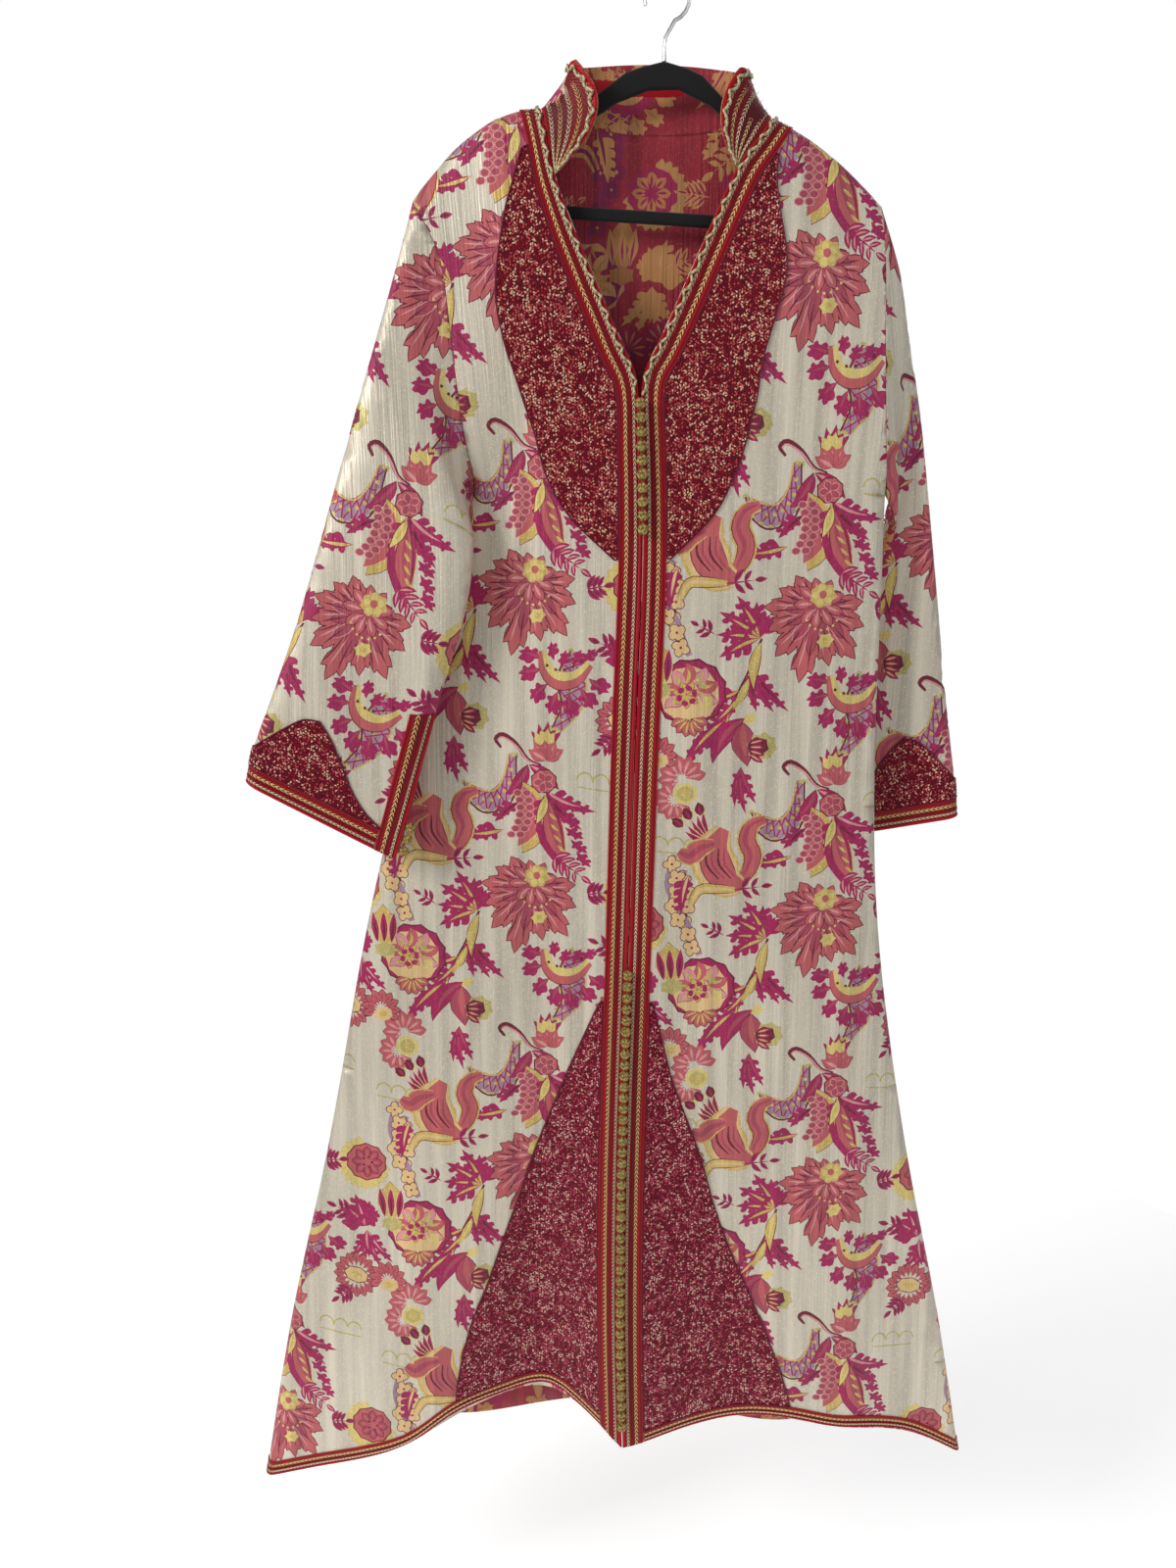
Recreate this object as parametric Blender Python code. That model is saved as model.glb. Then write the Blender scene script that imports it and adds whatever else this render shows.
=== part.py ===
"""Moroccan kaftan hung on a slim hanger.

Metres, +Z up, the garment's front faces -Y and the wearer's right side lies at -X.
The origin is the seat of the hanger's hook, where a rail holds it.
"""

import math

import bmesh
import bpy
import numpy as np

for old in list(bpy.data.objects):
    bpy.data.objects.remove(old, do_unlink=True)

# Thicknesses and gaps
CLOTH = 0.0015
BRAID = 0.0016
GLITTER = 0.0010
GAP = 0.0003
FRONT_GAP = 0.0010

# Widths of what is sewn on
BRAID_WIDTH = 0.0245
HEM_BRAID = 0.0190
CUFF_BRAID = 0.0225

# Rounded folds at the shoulder seam and under the arm
SHOULDER_ROUND = 0.010
UNDERARM_ROUND = 0.022
NECK_ROUND = 0.020

# Rows of the body, from the shoulder seam (0) to the hem (12).
# The underarm is row 6, and the collar ends at row 2 where the open V begins.
NECK_ROW, COLLAR_ROW, UNDERARM_ROW, HEM_ROW = 0, 2, 6, 12
# edge_half and mid_half are half the body's depth near its sides and at its middle.
BODY_COLUMNS = (
    "right_x right_z right_y front_right_x front_right_z front_left_x front_left_z"
    " left_x left_z left_y back_x back_z edge_half mid_half"
).split()
BODY_ROWS = [
    (-0.240, -0.192, 0.000, -0.117, -0.113, 0.100, -0.121, 0.205, -0.195, 0.000, -0.008, -0.134, 0.010, 0.010),
    (-0.216, -0.236, 0.003, -0.111, -0.141, 0.083, -0.144, 0.210, -0.238, -0.001, -0.008, -0.178, 0.014, 0.018),
    (-0.209, -0.280, 0.006, -0.104, -0.173, 0.065, -0.168, 0.212, -0.282, -0.003, -0.008, -0.226, 0.015, 0.022),
    (-0.205, -0.327, 0.008, -0.085, -0.222, 0.040, -0.222, 0.214, -0.327, -0.004, -0.008, -0.274, 0.015, 0.024),
    (-0.200, -0.375, 0.010, -0.062, -0.272, 0.016, -0.276, 0.217, -0.375, -0.006, -0.009, -0.322, 0.015, 0.024),
    (-0.194, -0.420, 0.012, -0.042, -0.318, -0.004, -0.320, 0.220, -0.420, -0.007, -0.010, -0.370, 0.013, 0.024),
    (-0.189, -0.462, 0.013, -0.023, -0.366, -0.022, -0.366, 0.224, -0.464, -0.008, -0.012, -0.415, 0.009, 0.024),
    (-0.222, -0.575, 0.013, -0.019, -0.520, -0.018, -0.520, 0.226, -0.575, -0.010, -0.015, -0.545, 0.008, 0.024),
    (-0.268, -0.735, 0.012, -0.025, -0.730, -0.024, -0.730, 0.229, -0.735, -0.010, -0.020, -0.735, 0.008, 0.025),
    (-0.318, -0.930, 0.008, -0.030, -0.940, -0.029, -0.940, 0.243, -0.925, -0.010, -0.026, -0.945, 0.008, 0.027),
    (-0.370, -1.185, -0.002, -0.036, -1.185, -0.035, -1.185, 0.287, -1.175, -0.012, -0.032, -1.190, 0.009, 0.030),
    (-0.422, -1.400, -0.014, -0.037, -1.380, -0.036, -1.380, 0.338, -1.395, -0.018, -0.036, -1.390, 0.011, 0.034),
    (-0.462, -1.612, -0.026, -0.034, -1.532, -0.033, -1.532, 0.374, -1.583, -0.024, -0.038, -1.560, 0.012, 0.036),
]

# Where the walls are cut into facets, as row numbers
UPPER_SAMPLES = [0, 0.05, 0.2, 0.5, 1, 1.5, 2, 2.8, 3.6, 4.4, 5.2, 5.7, 6]
ROWS_A_STEP = 3

# How far the shoulder seam and the front hem bow up from a straight line
SHOULDER_BOW = {"right": 0.022, "left": 0.009}

# Long soft folds, from where each begins down to the hem.
# depth is how far the cloth stands back (+) or forward (-) at the hem.
FOLD_COLUMNS = "face x_top z_top x_hem depth width".split()
FOLDS = [
    ("front", -0.026, -0.70, -0.036, -0.022, 0.050),
    ("front", -0.100, -0.80, -0.130, 0.050, 0.060),
    ("front", -0.210, -0.60, -0.300, -0.014, 0.050),
    ("front", 0.080, -0.80, 0.110, 0.016, 0.050),
    ("front", 0.150, -0.60, 0.230, -0.012, 0.045),
    ("front", 0.190, -0.90, 0.310, 0.010, 0.040),
    ("back", -0.010, -0.50, -0.030, 0.020, 0.055),
    ("back", -0.120, -0.60, -0.190, -0.022, 0.055),
    ("back", -0.220, -0.80, -0.340, 0.014, 0.050),
    ("back", 0.100, -0.60, 0.140, -0.020, 0.055),
    ("back", 0.160, -0.80, 0.260, 0.014, 0.045),
]

# How the front and back hems rise from the line between their ends, as pairs of
# the place across the panel, from the centre (0) to the side (1), and the rise there
HEM_RISES = {
    ("front", "right"): [
        (0, 0),
        (0.06, 0.026),
        (0.12, 0.058),
        (0.25, 0.062),
        (0.42, 0.070),
        (0.57, 0.038),
        (0.75, 0.018),
        (1, 0),
    ],
    ("front", "left"): [(0, 0), (0.15, 0.020), (0.45, 0.043), (0.70, 0.043), (0.93, 0.020), (1, 0)],
    ("back", "right"): [(0, 0.008), (0.15, 0.026), (0.3, 0.040), (0.6, 0.030), (1, 0)],
    ("back", "left"): [(0, 0.008), (0.3, 0.016), (0.6, 0.014), (1, 0)],
}

# Width of the glitter fields beside the front braid, along the rows.
# Between the chest and the skirt field the same line only spaces the facets.
GLITTER_COLUMNS = "row right left".split()
GLITTER_WIDTHS = [
    (0, 0.030, 0.025),
    (0.5, 0.015, 0.015),
    (1, 0.008, 0.004),
    (1.5, 0.025, 0.012),
    (2, 0.046, 0.027),
    (2.8, 0.073, 0.059),
    (3.6, 0.082, 0.067),
    (4.4, 0.085, 0.073),
    (5.2, 0.088, 0.084),
    (5.7, 0.091, 0.090),
    (6, 0.089, 0.089),
    (6.33, 0.076, 0.075),
    (6.67, 0.050, 0.050),
    (7, 0.004, 0.004),
    (7.33, 0.020, 0.020),
    (8, 0.030, 0.030),
    (9, 0.020, 0.020),
    (9.25, 0.004, 0.003),
    (9.6, 0.038, 0.027),
    (10, 0.071, 0.062),
    (10.5, 0.100, 0.091),
    (11, 0.126, 0.126),
    (11.5, 0.158, 0.156),
    (12, 0.174, 0.178),
]
CHEST_GLITTER = (1, 7)
SKIRT_GLITTER = (9.25, 12)

# Sleeves: the top edge runs from the shoulder tip to the cuff, the under edge from the underarm.
# Row 7 is where the slit in the under seam begins, and row 9 is the cuff.
SLIT_ROW, CUFF_ROW = 7, 9
SLEEVE_COLUMNS = "top_x top_z top_y under_x under_z under_y half".split()
SLEEVE_ROWS = {
    "right": [
        (-0.258, -0.252, -0.004, -0.192, -0.482, -0.010, 0.012),
        (-0.276, -0.310, -0.012, -0.186, -0.504, -0.028, 0.012),
        (-0.298, -0.378, -0.020, -0.187, -0.535, -0.036, 0.012),
        (-0.320, -0.448, -0.026, -0.193, -0.570, -0.038, 0.012),
        (-0.343, -0.520, -0.030, -0.203, -0.606, -0.038, 0.012),
        (-0.368, -0.595, -0.032, -0.216, -0.643, -0.038, 0.012),
        (-0.398, -0.668, -0.034, -0.229, -0.680, -0.038, 0.013),
        (-0.417, -0.712, -0.034, -0.250, -0.756, -0.038, 0.013),
        (-0.427, -0.751, -0.034, -0.273, -0.832, -0.038, 0.014),
    ],
    "left": [
        (0.228, -0.252, 0.004, 0.240, -0.488, 0.006, 0.012),
        (0.242, -0.310, 0.012, 0.240, -0.520, 0.030, 0.012),
        (0.260, -0.375, 0.018, 0.224, -0.555, 0.040, 0.012),
        (0.273, -0.445, 0.022, 0.206, -0.590, 0.044, 0.012),
        (0.285, -0.515, 0.024, 0.192, -0.630, 0.046, 0.012),
        (0.297, -0.590, 0.024, 0.182, -0.665, 0.046, 0.012),
        (0.308, -0.665, 0.024, 0.174, -0.690, 0.046, 0.013),
        (0.322, -0.735, 0.024, 0.168, -0.765, 0.046, 0.013),
        (0.331, -0.803, 0.024, 0.164, -0.838, 0.046, 0.014),
    ],
}
SLEEVE_SAMPLES = [0, 0.35, 0.7, 1, 1.5, 2, 3, 4, 5, 6, 7]
LIP_OPEN = 0.75

# Places across the flat sleeve near the cuff, from the under seam to the top fold,
# each with the height of the glitter field above the cuff braid there
CUFF_PLACES = [
    (0, 0.030),
    (0.07, 0.015),
    (0.14, 0.002),
    (0.25, 0.010),
    (0.35, 0.024),
    (0.45, 0.045),
    (0.55, 0.064),
    (0.65, 0.076),
    (0.75, 0.070),
    (0.85, 0.052),
    (0.93, 0.034),
    (0.98, 0.023),
    (1, 0.019),
]
SLIT_BRAID_PLACES = 2

# Collar: stations run from the right front edge round the back to the left front edge.
# Its foot is the neckline; the table gives its middle and its top, and the facets lie
# at these shares of its height.
COLLAR_HEIGHTS = (0, 0.2, 0.4, 0.6, 0.8, 1)
COLLAR_COLUMNS = "mid_x mid_y mid_z top_x top_y top_z".split()
COLLAR_ROWS = [
    (-0.063, -0.030, -0.123, -0.085, -0.024, -0.079),
    (-0.088, -0.020, -0.110, -0.089, -0.014, -0.077),
    (-0.102, 0.003, -0.095, -0.087, 0.004, -0.076),
    (-0.081, 0.023, -0.094, -0.073, 0.022, -0.071),
    (-0.045, 0.029, -0.096, -0.041, 0.029, -0.066),
    (-0.008, 0.031, -0.097, -0.009, 0.031, -0.065),
    (0.028, 0.029, -0.098, 0.024, 0.029, -0.067),
    (0.066, 0.022, -0.100, 0.056, 0.022, -0.073),
    (0.088, 0.003, -0.104, 0.074, 0.004, -0.081),
    (0.072, -0.020, -0.114, 0.073, -0.014, -0.083),
    (0.048, -0.028, -0.124, 0.066, -0.024, -0.084),
]

# Buttons: knotted silk balls
CHEST_BUTTON, CHEST_BUTTONS = 0.0122, 10
SKIRT_BUTTON, SKIRT_BUTTONS = 0.0120, 43
CUFF_BUTTON, CUFF_BUTTONS = 0.0115, 3
CHEST_BUTTON_TOP, CHEST_BUTTON_END = -0.378, -0.497
SKIRT_BUTTON_TOP, SKIRT_BUTTON_END = -0.965, -1.500
BUTTON_CORD = 0.0050
# How wide the row of touching buttons swells at each, as a share of a button's diameter
STRAND_SWELL = 0.42

# Hanger: its hump, given as x and z, shows in the neck opening, and its arms follow
# the shoulder seams from below
HANGER_THICK = 0.0070
HANGER_EDGE = 0.0018
HANGER_CLEAR = 0.0052
HANGER_HUMP = [
    (-0.092, -0.115),
    (-0.068, -0.103),
    (-0.038, -0.082),
    (-0.024, -0.0775),
    (-0.002, -0.0725),
    (0.020, -0.0785),
    (0.034, -0.0845),
    (0.056, -0.106),
    (0.078, -0.1185),
]
HANGER_ENDS = (-0.226, 0.192)
ARM_DEPTH, BAR_DEPTH = 0.021, 0.0115
BAR_HEIGHTS = (-0.1885, -0.2125)
END_ROUND = 0.010
HOOK_WIRE, HOOK_INSIDE, HOOK_FOOT_X = 0.0036, 0.0190, -0.002


def spline(values, row):
    """A smooth curve through the table's values, read at a row number."""
    last = len(values) - 1
    start = min(int(row), last - 1)
    t = row - start
    a = values[start]
    b = values[start + 1]
    before = values[start - 1] if start else 2 * a - b
    after = values[start + 2] if start + 2 <= last else 2 * b - a
    slope = b - before
    bend = 2 * before - 5 * a + 4 * b - after
    twist = 3 * (a - b) + after - before
    return a + 0.5 * t * (slope + t * (bend + t * twist))


BODY = {name: [row[i] for row in BODY_ROWS] for i, name in enumerate(BODY_COLUMNS)}
SLEEVE = {
    side: {name: [row[i] for row in rows] for i, name in enumerate(SLEEVE_COLUMNS)}
    for side, rows in SLEEVE_ROWS.items()
}
COLLAR = {name: [row[i] for row in COLLAR_ROWS] for i, name in enumerate(COLLAR_COLUMNS)}


def body(name, row):
    return spline(BODY[name], row)


def mix(a, b, t):
    return a + (b - a) * t


def rounded(t):
    """The rise of a quarter circle, from 0 at its foot to 1."""
    t = min(max(t, 0), 1)
    return math.sqrt(1 - (1 - t) ** 2)


def smooth(t):
    t = min(max(t, 0), 1)
    return t * t * (3 - 2 * t)


def fold_depth(face, x, z):
    total = 0
    for row in FOLDS:
        fold = dict(zip(FOLD_COLUMNS, row))
        if fold["face"] != face:
            continue
        down = (fold["z_top"] - z) / (fold["z_top"] - BODY["back_z"][-1])
        if down <= 0:
            continue
        centre = mix(fold["x_top"], fold["x_hem"], down)
        width = fold["width"] * mix(0.6, 1, down)
        total += fold["depth"] * down**1.3 * math.exp(-(((x - centre) / width) ** 2))
    return total


def ends_of_row(side, face, row):
    """The inner and outer end of a row of a panel, as x and z."""
    if face == "front":
        middle = (body("front_right_x", row) + body("front_left_x", row)) / 2
        sign = -1 if side == "right" else 1
        apart = sign * (body(f"front_{side}_x", row) - middle)
        apart = FRONT_GAP / 2 if row >= UNDERARM_ROW else max(apart, FRONT_GAP / 2)
        inner = middle + sign * apart, body(f"front_{side}_z", row)
    else:
        inner = body("back_x", row), body("back_z", row)
    return inner, (body(f"{side}_x", row), body(f"{side}_z", row))


def shoulder_places(side):
    """Where the shoulder seam bends, from the neck point (0) to the tip (1)."""
    places = front_places(side, NECK_ROW)
    return [places[i] for i in (0, BRAID_PLACES, FIELD_PLACES, FIELD_PLACES + 2, FIELD_PLACES + 4, -1)]


def shoulder_height(side, x):
    """The shoulder seam's height at x."""
    (inner_x, inner_z), (outer_x, outer_z) = ends_of_row(side, "front", 0)
    places = shoulder_places(side)
    heights = [mix(inner_z, outer_z, u) + SHOULDER_BOW[side] * 4 * u * (1 - u) for u in places]
    return np.interp((x - inner_x) / (outer_x - inner_x), places, heights)


def top_rise(side, face, u, x):
    """How far the panel's top edge lies above the straight row between its ends."""
    (_, inner_z), (_, outer_z) = ends_of_row(side, face, 0)
    neck_x = ends_of_row(side, "front", 0)[0][0]
    if face == "front" or abs(x) >= abs(neck_x):
        return shoulder_height(side, x) - mix(inner_z, outer_z, u)
    neck_z = shoulder_height(side, neck_x)
    back_x, back_z = ends_of_row(side, "back", 0)[0]
    return mix(back_z, neck_z, (abs(x - back_x) / abs(neck_x - back_x)) ** 2) - mix(inner_z, outer_z, u)


def body_point(side, face, u, row):
    """A point of the body's outer face; u runs from the centre (0) to the side (1)."""
    (inner_x, inner_z), (outer_x, outer_z) = ends_of_row(side, face, row)
    x = mix(inner_x, outer_x, u)
    z = mix(inner_z, outer_z, u)
    top_x = mix(ends_of_row(side, face, 0)[0][0], body(f"{side}_x", 0), u)
    z += top_rise(side, face, u, top_x) * (1 - smooth(row / 4))
    rises = np.array(HEM_RISES[face, side])
    z += np.interp(u, rises[:, 0], rises[:, 1]) * smooth((row - 9.5) / 2.5)

    edge_half, mid_half = body("edge_half", row), body("mid_half", row)
    across = (x - body("right_x", row)) / (body("left_x", row) - body("right_x", row))
    middle = mix(body("right_y", row), body("left_y", row), across)
    half = mix(edge_half, mid_half, 1 - u**2.2)

    armhole = 0 if row >= UNDERARM_ROW else rounded((outer_z - body(f"{side}_z", UNDERARM_ROW)) / UNDERARM_ROUND)
    at_side = mix(rounded(abs(outer_x - x) / edge_half), 1, armhole)
    (neck_x, _) = ends_of_row(side, "front", 0)[0]
    open_neck = rounded((abs(neck_x) - abs(top_x)) / NECK_ROUND) if face == "back" else 0
    top_z = mix(ends_of_row(side, face, 0)[0][1], body(f"{side}_z", 0), u) + top_rise(side, face, u, top_x)
    at_top = mix(rounded((top_z - z) / SHOULDER_ROUND), 1, open_neck)
    sign = -1 if face == "front" else 1
    y = middle + sign * (half * at_side * at_top + GAP / 2) + fold_depth(face, x, z) * at_side
    return x, y, z


def body_samples():
    rows = list(UPPER_SAMPLES)
    for row in range(UNDERARM_ROW, HEM_ROW):
        rows += [row + (i + 1) / ROWS_A_STEP for i in range(ROWS_A_STEP)]
    rows += [CHEST_GLITTER[1], SKIRT_GLITTER[0], 9.6, hem_braid_row()]
    rows = sorted(set(round(row, 4) for row in rows))
    return [row for i, row in enumerate(rows) if i == 0 or row - rows[i - 1] > 0.03]


def hem_braid_row():
    """The row where the hem's braid begins."""
    last = body("right_z", HEM_ROW - 1) - body("right_z", HEM_ROW)
    return HEM_ROW - HEM_BRAID / last


def row_length(side, face, row):
    (inner_x, inner_z), (outer_x, outer_z) = ends_of_row(side, face, row)
    return math.hypot(outer_x - inner_x, outer_z - inner_z)


def front_places(side, row):
    """Where the facets of a front lie across a row: braid, glitter field, plain cloth, rounded edge."""
    length = row_length(side, "front", row)
    widths = np.array(GLITTER_WIDTHS)
    field = np.interp(row, widths[:, 0], widths[:, GLITTER_COLUMNS.index(side)])
    edge = body("edge_half", row)
    near = [0, BRAID_WIDTH / 2, BRAID_WIDTH]
    glitter = [BRAID_WIDTH + field * t for t in (1 / 3, 2 / 3, 1)]
    rim = [length - edge, length - edge / 2, length - 0.134 * edge, length]
    plain = [mix(glitter[-1], rim[0], t) for t in (0.25, 0.5, 0.75)]
    return [place / length for place in near + glitter + plain + rim]


BRAID_PLACES, FIELD_PLACES = 2, 5


def back_places(side, row):
    """The same for half of the back, with a facet's corner at the neck point."""
    length = row_length(side, "back", row)
    edge = body("edge_half", row)
    neck = abs(ends_of_row(side, "front", 0)[0][0] - BODY["back_x"][0])
    neck /= abs(BODY[f"{side}_x"][0] - BODY["back_x"][0])
    rim = [1 - edge / length, 1 - edge / 2 / length, 1 - 0.134 * edge / length, 1]
    plain = [mix(neck, 1, place) for place in shoulder_places(side)[:4]]
    return [0, 0.4 * neck, 0.8 * neck] + plain + rim


BACK_NECK_PLACE = 3


def normals_of(points, outward):
    """Unit normals of a grid of points, turned to the side that outward gives."""
    points = np.asarray(points)
    down = np.gradient(points, axis=0)
    over = np.gradient(points, axis=1)
    normals = np.cross(down, over)
    normals /= np.linalg.norm(normals, axis=2)[..., None]
    turned = (normals * np.asarray(outward)).sum() < 0
    return -normals if turned else normals


def flattened(normals, index, axis):
    """Takes one axis out of the normals there, so that two rims lie face to face at a seam."""
    part = normals[index]
    part[..., axis] = 0
    normals[index] = part / np.linalg.norm(part, axis=-1)[..., None]


def front_grid(side, samples):
    points = np.array([[body_point(side, "front", u, row) for u in front_places(side, row)] for row in samples])
    normals = normals_of(points, (0, -1, 0))
    under = samples.index(UNDERARM_ROW)
    out = -1 if side == "right" else 1
    flattened(normals, (slice(1, under), -1), 0)
    flattened(normals, (slice(under + 1, None), -1), 1)
    flattened(normals, (0, slice(None)), 1)
    normals[0, -1] = 0, 0, 1
    normals[under, -1] = out * math.sqrt(0.5), 0, -math.sqrt(0.5)
    return points, normals


def back_grid(samples):
    halves = {}
    for side in ("right", "left"):
        halves[side] = np.array(
            [[body_point(side, "back", u, row) for u in back_places(side, row)] for row in samples]
        )
    points = np.concatenate([halves["right"][:, :0:-1], halves["left"]], axis=1)
    normals = normals_of(points, (0, 1, 0))
    under = samples.index(UNDERARM_ROW)
    centre = len(halves["right"][0]) - 1
    for edge, out in ((0, -1), (-1, 1)):
        flattened(normals, (slice(1, under), edge), 0)
        flattened(normals, (slice(under + 1, None), edge), 1)
        normals[under, edge] = out * math.sqrt(0.5), 0, -math.sqrt(0.5)
    for columns in (slice(0, centre - BACK_NECK_PLACE + 1), slice(centre + BACK_NECK_PLACE, None)):
        flattened(normals, (0, columns), 1)
    normals[0, 0] = normals[0, -1] = 0, 0, 1
    return points, normals


def sleeve(name, side, row):
    """A sleeve table's value; its row 0 is the armhole, which the body gives."""
    if name == "half":
        first = SLEEVE[side][name][0]
    else:
        edge, axis = name.split("_")
        at = NECK_ROW if edge == "top" else UNDERARM_ROW
        first = BODY[f"{side}_{axis}"][at]
    return spline([first] + SLEEVE[side][name], row)


def sleeve_point(side, face, across, row):
    """A point of the sleeve's outer face; across runs from the under seam (0) to the top fold (1)."""
    x = mix(sleeve("under_x", side, row), sleeve("top_x", side, row), across)
    y = mix(sleeve("under_y", side, row), sleeve("top_y", side, row), across)
    z = mix(sleeve("under_z", side, row), sleeve("top_z", side, row), across)
    half = sleeve("half", side, row)
    length = sleeve_width(side, row)
    lip = LIP_OPEN * smooth((row - SLIT_ROW) / (CUFF_ROW - SLIT_ROW))
    at_under = mix(rounded(across * length / half), 1, lip)
    at_top = rounded((1 - across) * length / half)
    sign = -1 if face == "front" else 1
    under_gap = 0 if across == 1 else GAP / 2
    return x, y + sign * (half * at_under * at_top + under_gap), z


def sleeve_width(side, row):
    return math.dist(
        (sleeve("under_x", side, row), sleeve("under_z", side, row)),
        (sleeve("top_x", side, row), sleeve("top_z", side, row)),
    )


def cuff_row(side, across, height):
    """The row number at a height above the cuff's edge."""
    low = sleeve_point(side, "front", across, CUFF_ROW)
    high = sleeve_point(side, "front", across, SLIT_ROW)
    return CUFF_ROW - (CUFF_ROW - SLIT_ROW) * height / math.hypot(high[0] - low[0], high[2] - low[2])


def sleeve_grid(side, front, back, samples):
    """The sleeve from the under seam's front lip, over the top fold, to its back lip."""
    under = samples.index(UNDERARM_ROW)
    edge = -1
    armhole = [(front, row) for row in range(under, -1, -1)]
    armhole += [(back, row) for row in range(1, under + 1)]
    back_edge = 0 if side == "right" else -1
    out = -GAP if side == "right" else GAP
    first, first_normals = [], []
    for (points, normals), row in armhole:
        column = edge if points is front[0] else back_edge
        point = points[row, column] + (out, 0, 0)
        if row == 0:
            point[1] = BODY[f"{side}_y"][0]
        first.append(point)
        first_normals.append((0, 0, -1) if row == under else normals[row, column])

    top_z, under_z = BODY[f"{side}_z"][NECK_ROW], BODY[f"{side}_z"][UNDERARM_ROW]
    at_armhole = [(body(f"{side}_z", row) - under_z) / (top_z - under_z) for row in samples[under::-1]]
    at_cuff = [place for place, _ in CUFF_PLACES]
    heights = [height for _, height in CUFF_PLACES]
    grid = [first]
    for row in SLEEVE_SAMPLES[1:]:
        blend = smooth(row / SLIT_ROW)
        places = [mix(a, b, blend) for a, b in zip(at_armhole, at_cuff)]
        grid.append(around(places, lambda face, i, across: sleeve_point(side, face, across, row)))
    for share in (1, 0.5, 0):
        grid.append(
            around(
                at_cuff,
                lambda face, i, across: sleeve_point(
                    side, face, across, cuff_row(side, across, CUFF_BRAID + share * heights[i])
                ),
            )
        )
    grid.append(around(at_cuff, lambda face, i, across: sleeve_point(side, face, across, CUFF_ROW)))
    points = np.array(grid)
    normals = normals_of(points, (0, 0, 0))
    middle = points.mean(axis=1)
    if ((points - middle[:, None]) * normals).sum() < 0:
        normals = -normals
    normals[0] = first_normals
    slit = SLEEVE_SAMPLES.index(SLIT_ROW)
    for lip in (0, -1):
        flattened(normals, (slice(1, slit + 1), lip), 1)
    return points, normals


def around(places, point):
    """One row of the sleeve: the front from the under seam to the top fold, then the back."""
    row = [point("front", i, across) for i, across in enumerate(places)]
    return row + [point("back", i, places[i]) for i in range(len(places) - 2, -1, -1)]


def collar_grid(samples, fronts, back):
    """The collar's outer face: its foot is the neckline, moved up by the seam's gap."""
    last = samples.index(COLLAR_ROW)
    foot, foot_normals, stations = [], [], []
    points, normals = fronts["right"]
    for row in range(last, -1, -1):
        foot.append(points[row, 0])
        foot_normals.append(normals[row, 0])
        stations.append(2 - samples[row])
    back_points, back_normals = back
    centre = (len(back_points[0]) - 1) // 2
    neck = range(centre - BACK_NECK_PLACE + 1, centre + BACK_NECK_PLACE)
    right_x, left_x = BODY["front_right_x"][0], BODY["front_left_x"][0]
    for column in neck:
        foot.append(back_points[0, column])
        foot_normals.append(back_normals[0, column])
        stations.append(2 + 6 * (foot[-1][0] - right_x) / (left_x - right_x))
    points, normals = fronts["left"]
    for row in range(0, last + 1):
        foot.append(points[row, 0])
        foot_normals.append(normals[row, 0])
        stations.append(8 + samples[row])
    foot = np.array(foot)
    for i in (last, len(foot) - 1 - last):
        foot[i, 1] = 0
    mid, top = (
        np.array([[spline(COLLAR[f"{part}_{axis}"], station) for axis in "xyz"] for station in stations])
        for part in ("mid", "top")
    )
    away = mid - foot
    foot = foot + (GAP * 1.5) * away / np.linalg.norm(away, axis=1)[:, None]
    grid = np.array([mix(mix(foot, mid, 2 * t), mix(mid, top, 2 * t - 1), t) if t else foot for t in COLLAR_HEIGHTS])
    normals = normals_of(grid, (0, 0, 0))
    middle = np.array([-0.008, 0.0, -0.1])
    if ((grid - middle) * normals).sum() < 0:
        normals = -normals
    return grid, normals


def material(name, colour, roughness, metallic=0.0):
    made = bpy.data.materials.new(name)
    made.use_nodes = True
    shader = made.node_tree.nodes["Principled BSDF"]
    shader.inputs["Base Color"].default_value = (*colour, 1)
    shader.inputs["Roughness"].default_value = roughness
    shader.inputs["Metallic"].default_value = metallic
    made.diffuse_color = (*colour, 1)
    return made


def add(name, mesh, finish):
    piece = bpy.data.objects.new(name, mesh)
    bpy.context.scene.collection.objects.link(piece)
    mesh.materials.append(finish)
    return piece


def wall(name, points, normals, low, high, finish):
    """A closed wall between the grid's points moved out by low and by high."""
    outer = points + normals * high
    inner = points + normals * low
    rows, columns = points.shape[:2]
    made = bmesh.new()
    top = [[made.verts.new(outer[i, j]) for j in range(columns)] for i in range(rows)]
    bottom = [[made.verts.new(inner[i, j]) for j in range(columns)] for i in range(rows)]
    for i in range(rows - 1):
        for j in range(columns - 1):
            made.faces.new((top[i][j], top[i][j + 1], top[i + 1][j + 1], top[i + 1][j]))
            made.faces.new((bottom[i][j], bottom[i + 1][j], bottom[i + 1][j + 1], bottom[i][j + 1]))
    border = [(0, j) for j in range(columns)] + [(i, columns - 1) for i in range(1, rows)]
    border += [(rows - 1, j) for j in range(columns - 2, -1, -1)] + [(i, 0) for i in range(rows - 2, 0, -1)]
    for (a, b), (c, d) in zip(border, border[1:] + border[:1]):
        made.faces.new((top[a][b], bottom[a][b], bottom[c][d], top[c][d]))
    bmesh.ops.recalc_face_normals(made, faces=made.faces)
    mesh = bpy.data.meshes.new(name)
    made.to_mesh(mesh)
    made.free()
    return add(name, mesh, finish)


def pulled_in(grid):
    """Moves a strip's border in by the gap, so that strips side by side don't touch."""
    grid = grid.copy()
    for border, inside in ((0, 1), (-1, -2)):
        for axis in (0, 1):
            line = np.moveaxis(grid, axis, 0)
            if len(line) < 2:
                continue
            step = line[inside] - line[border]
            length = np.linalg.norm(step, axis=-1)[..., None]
            line[border] += step * np.minimum(GAP / length, 0.25)
    return grid


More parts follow.
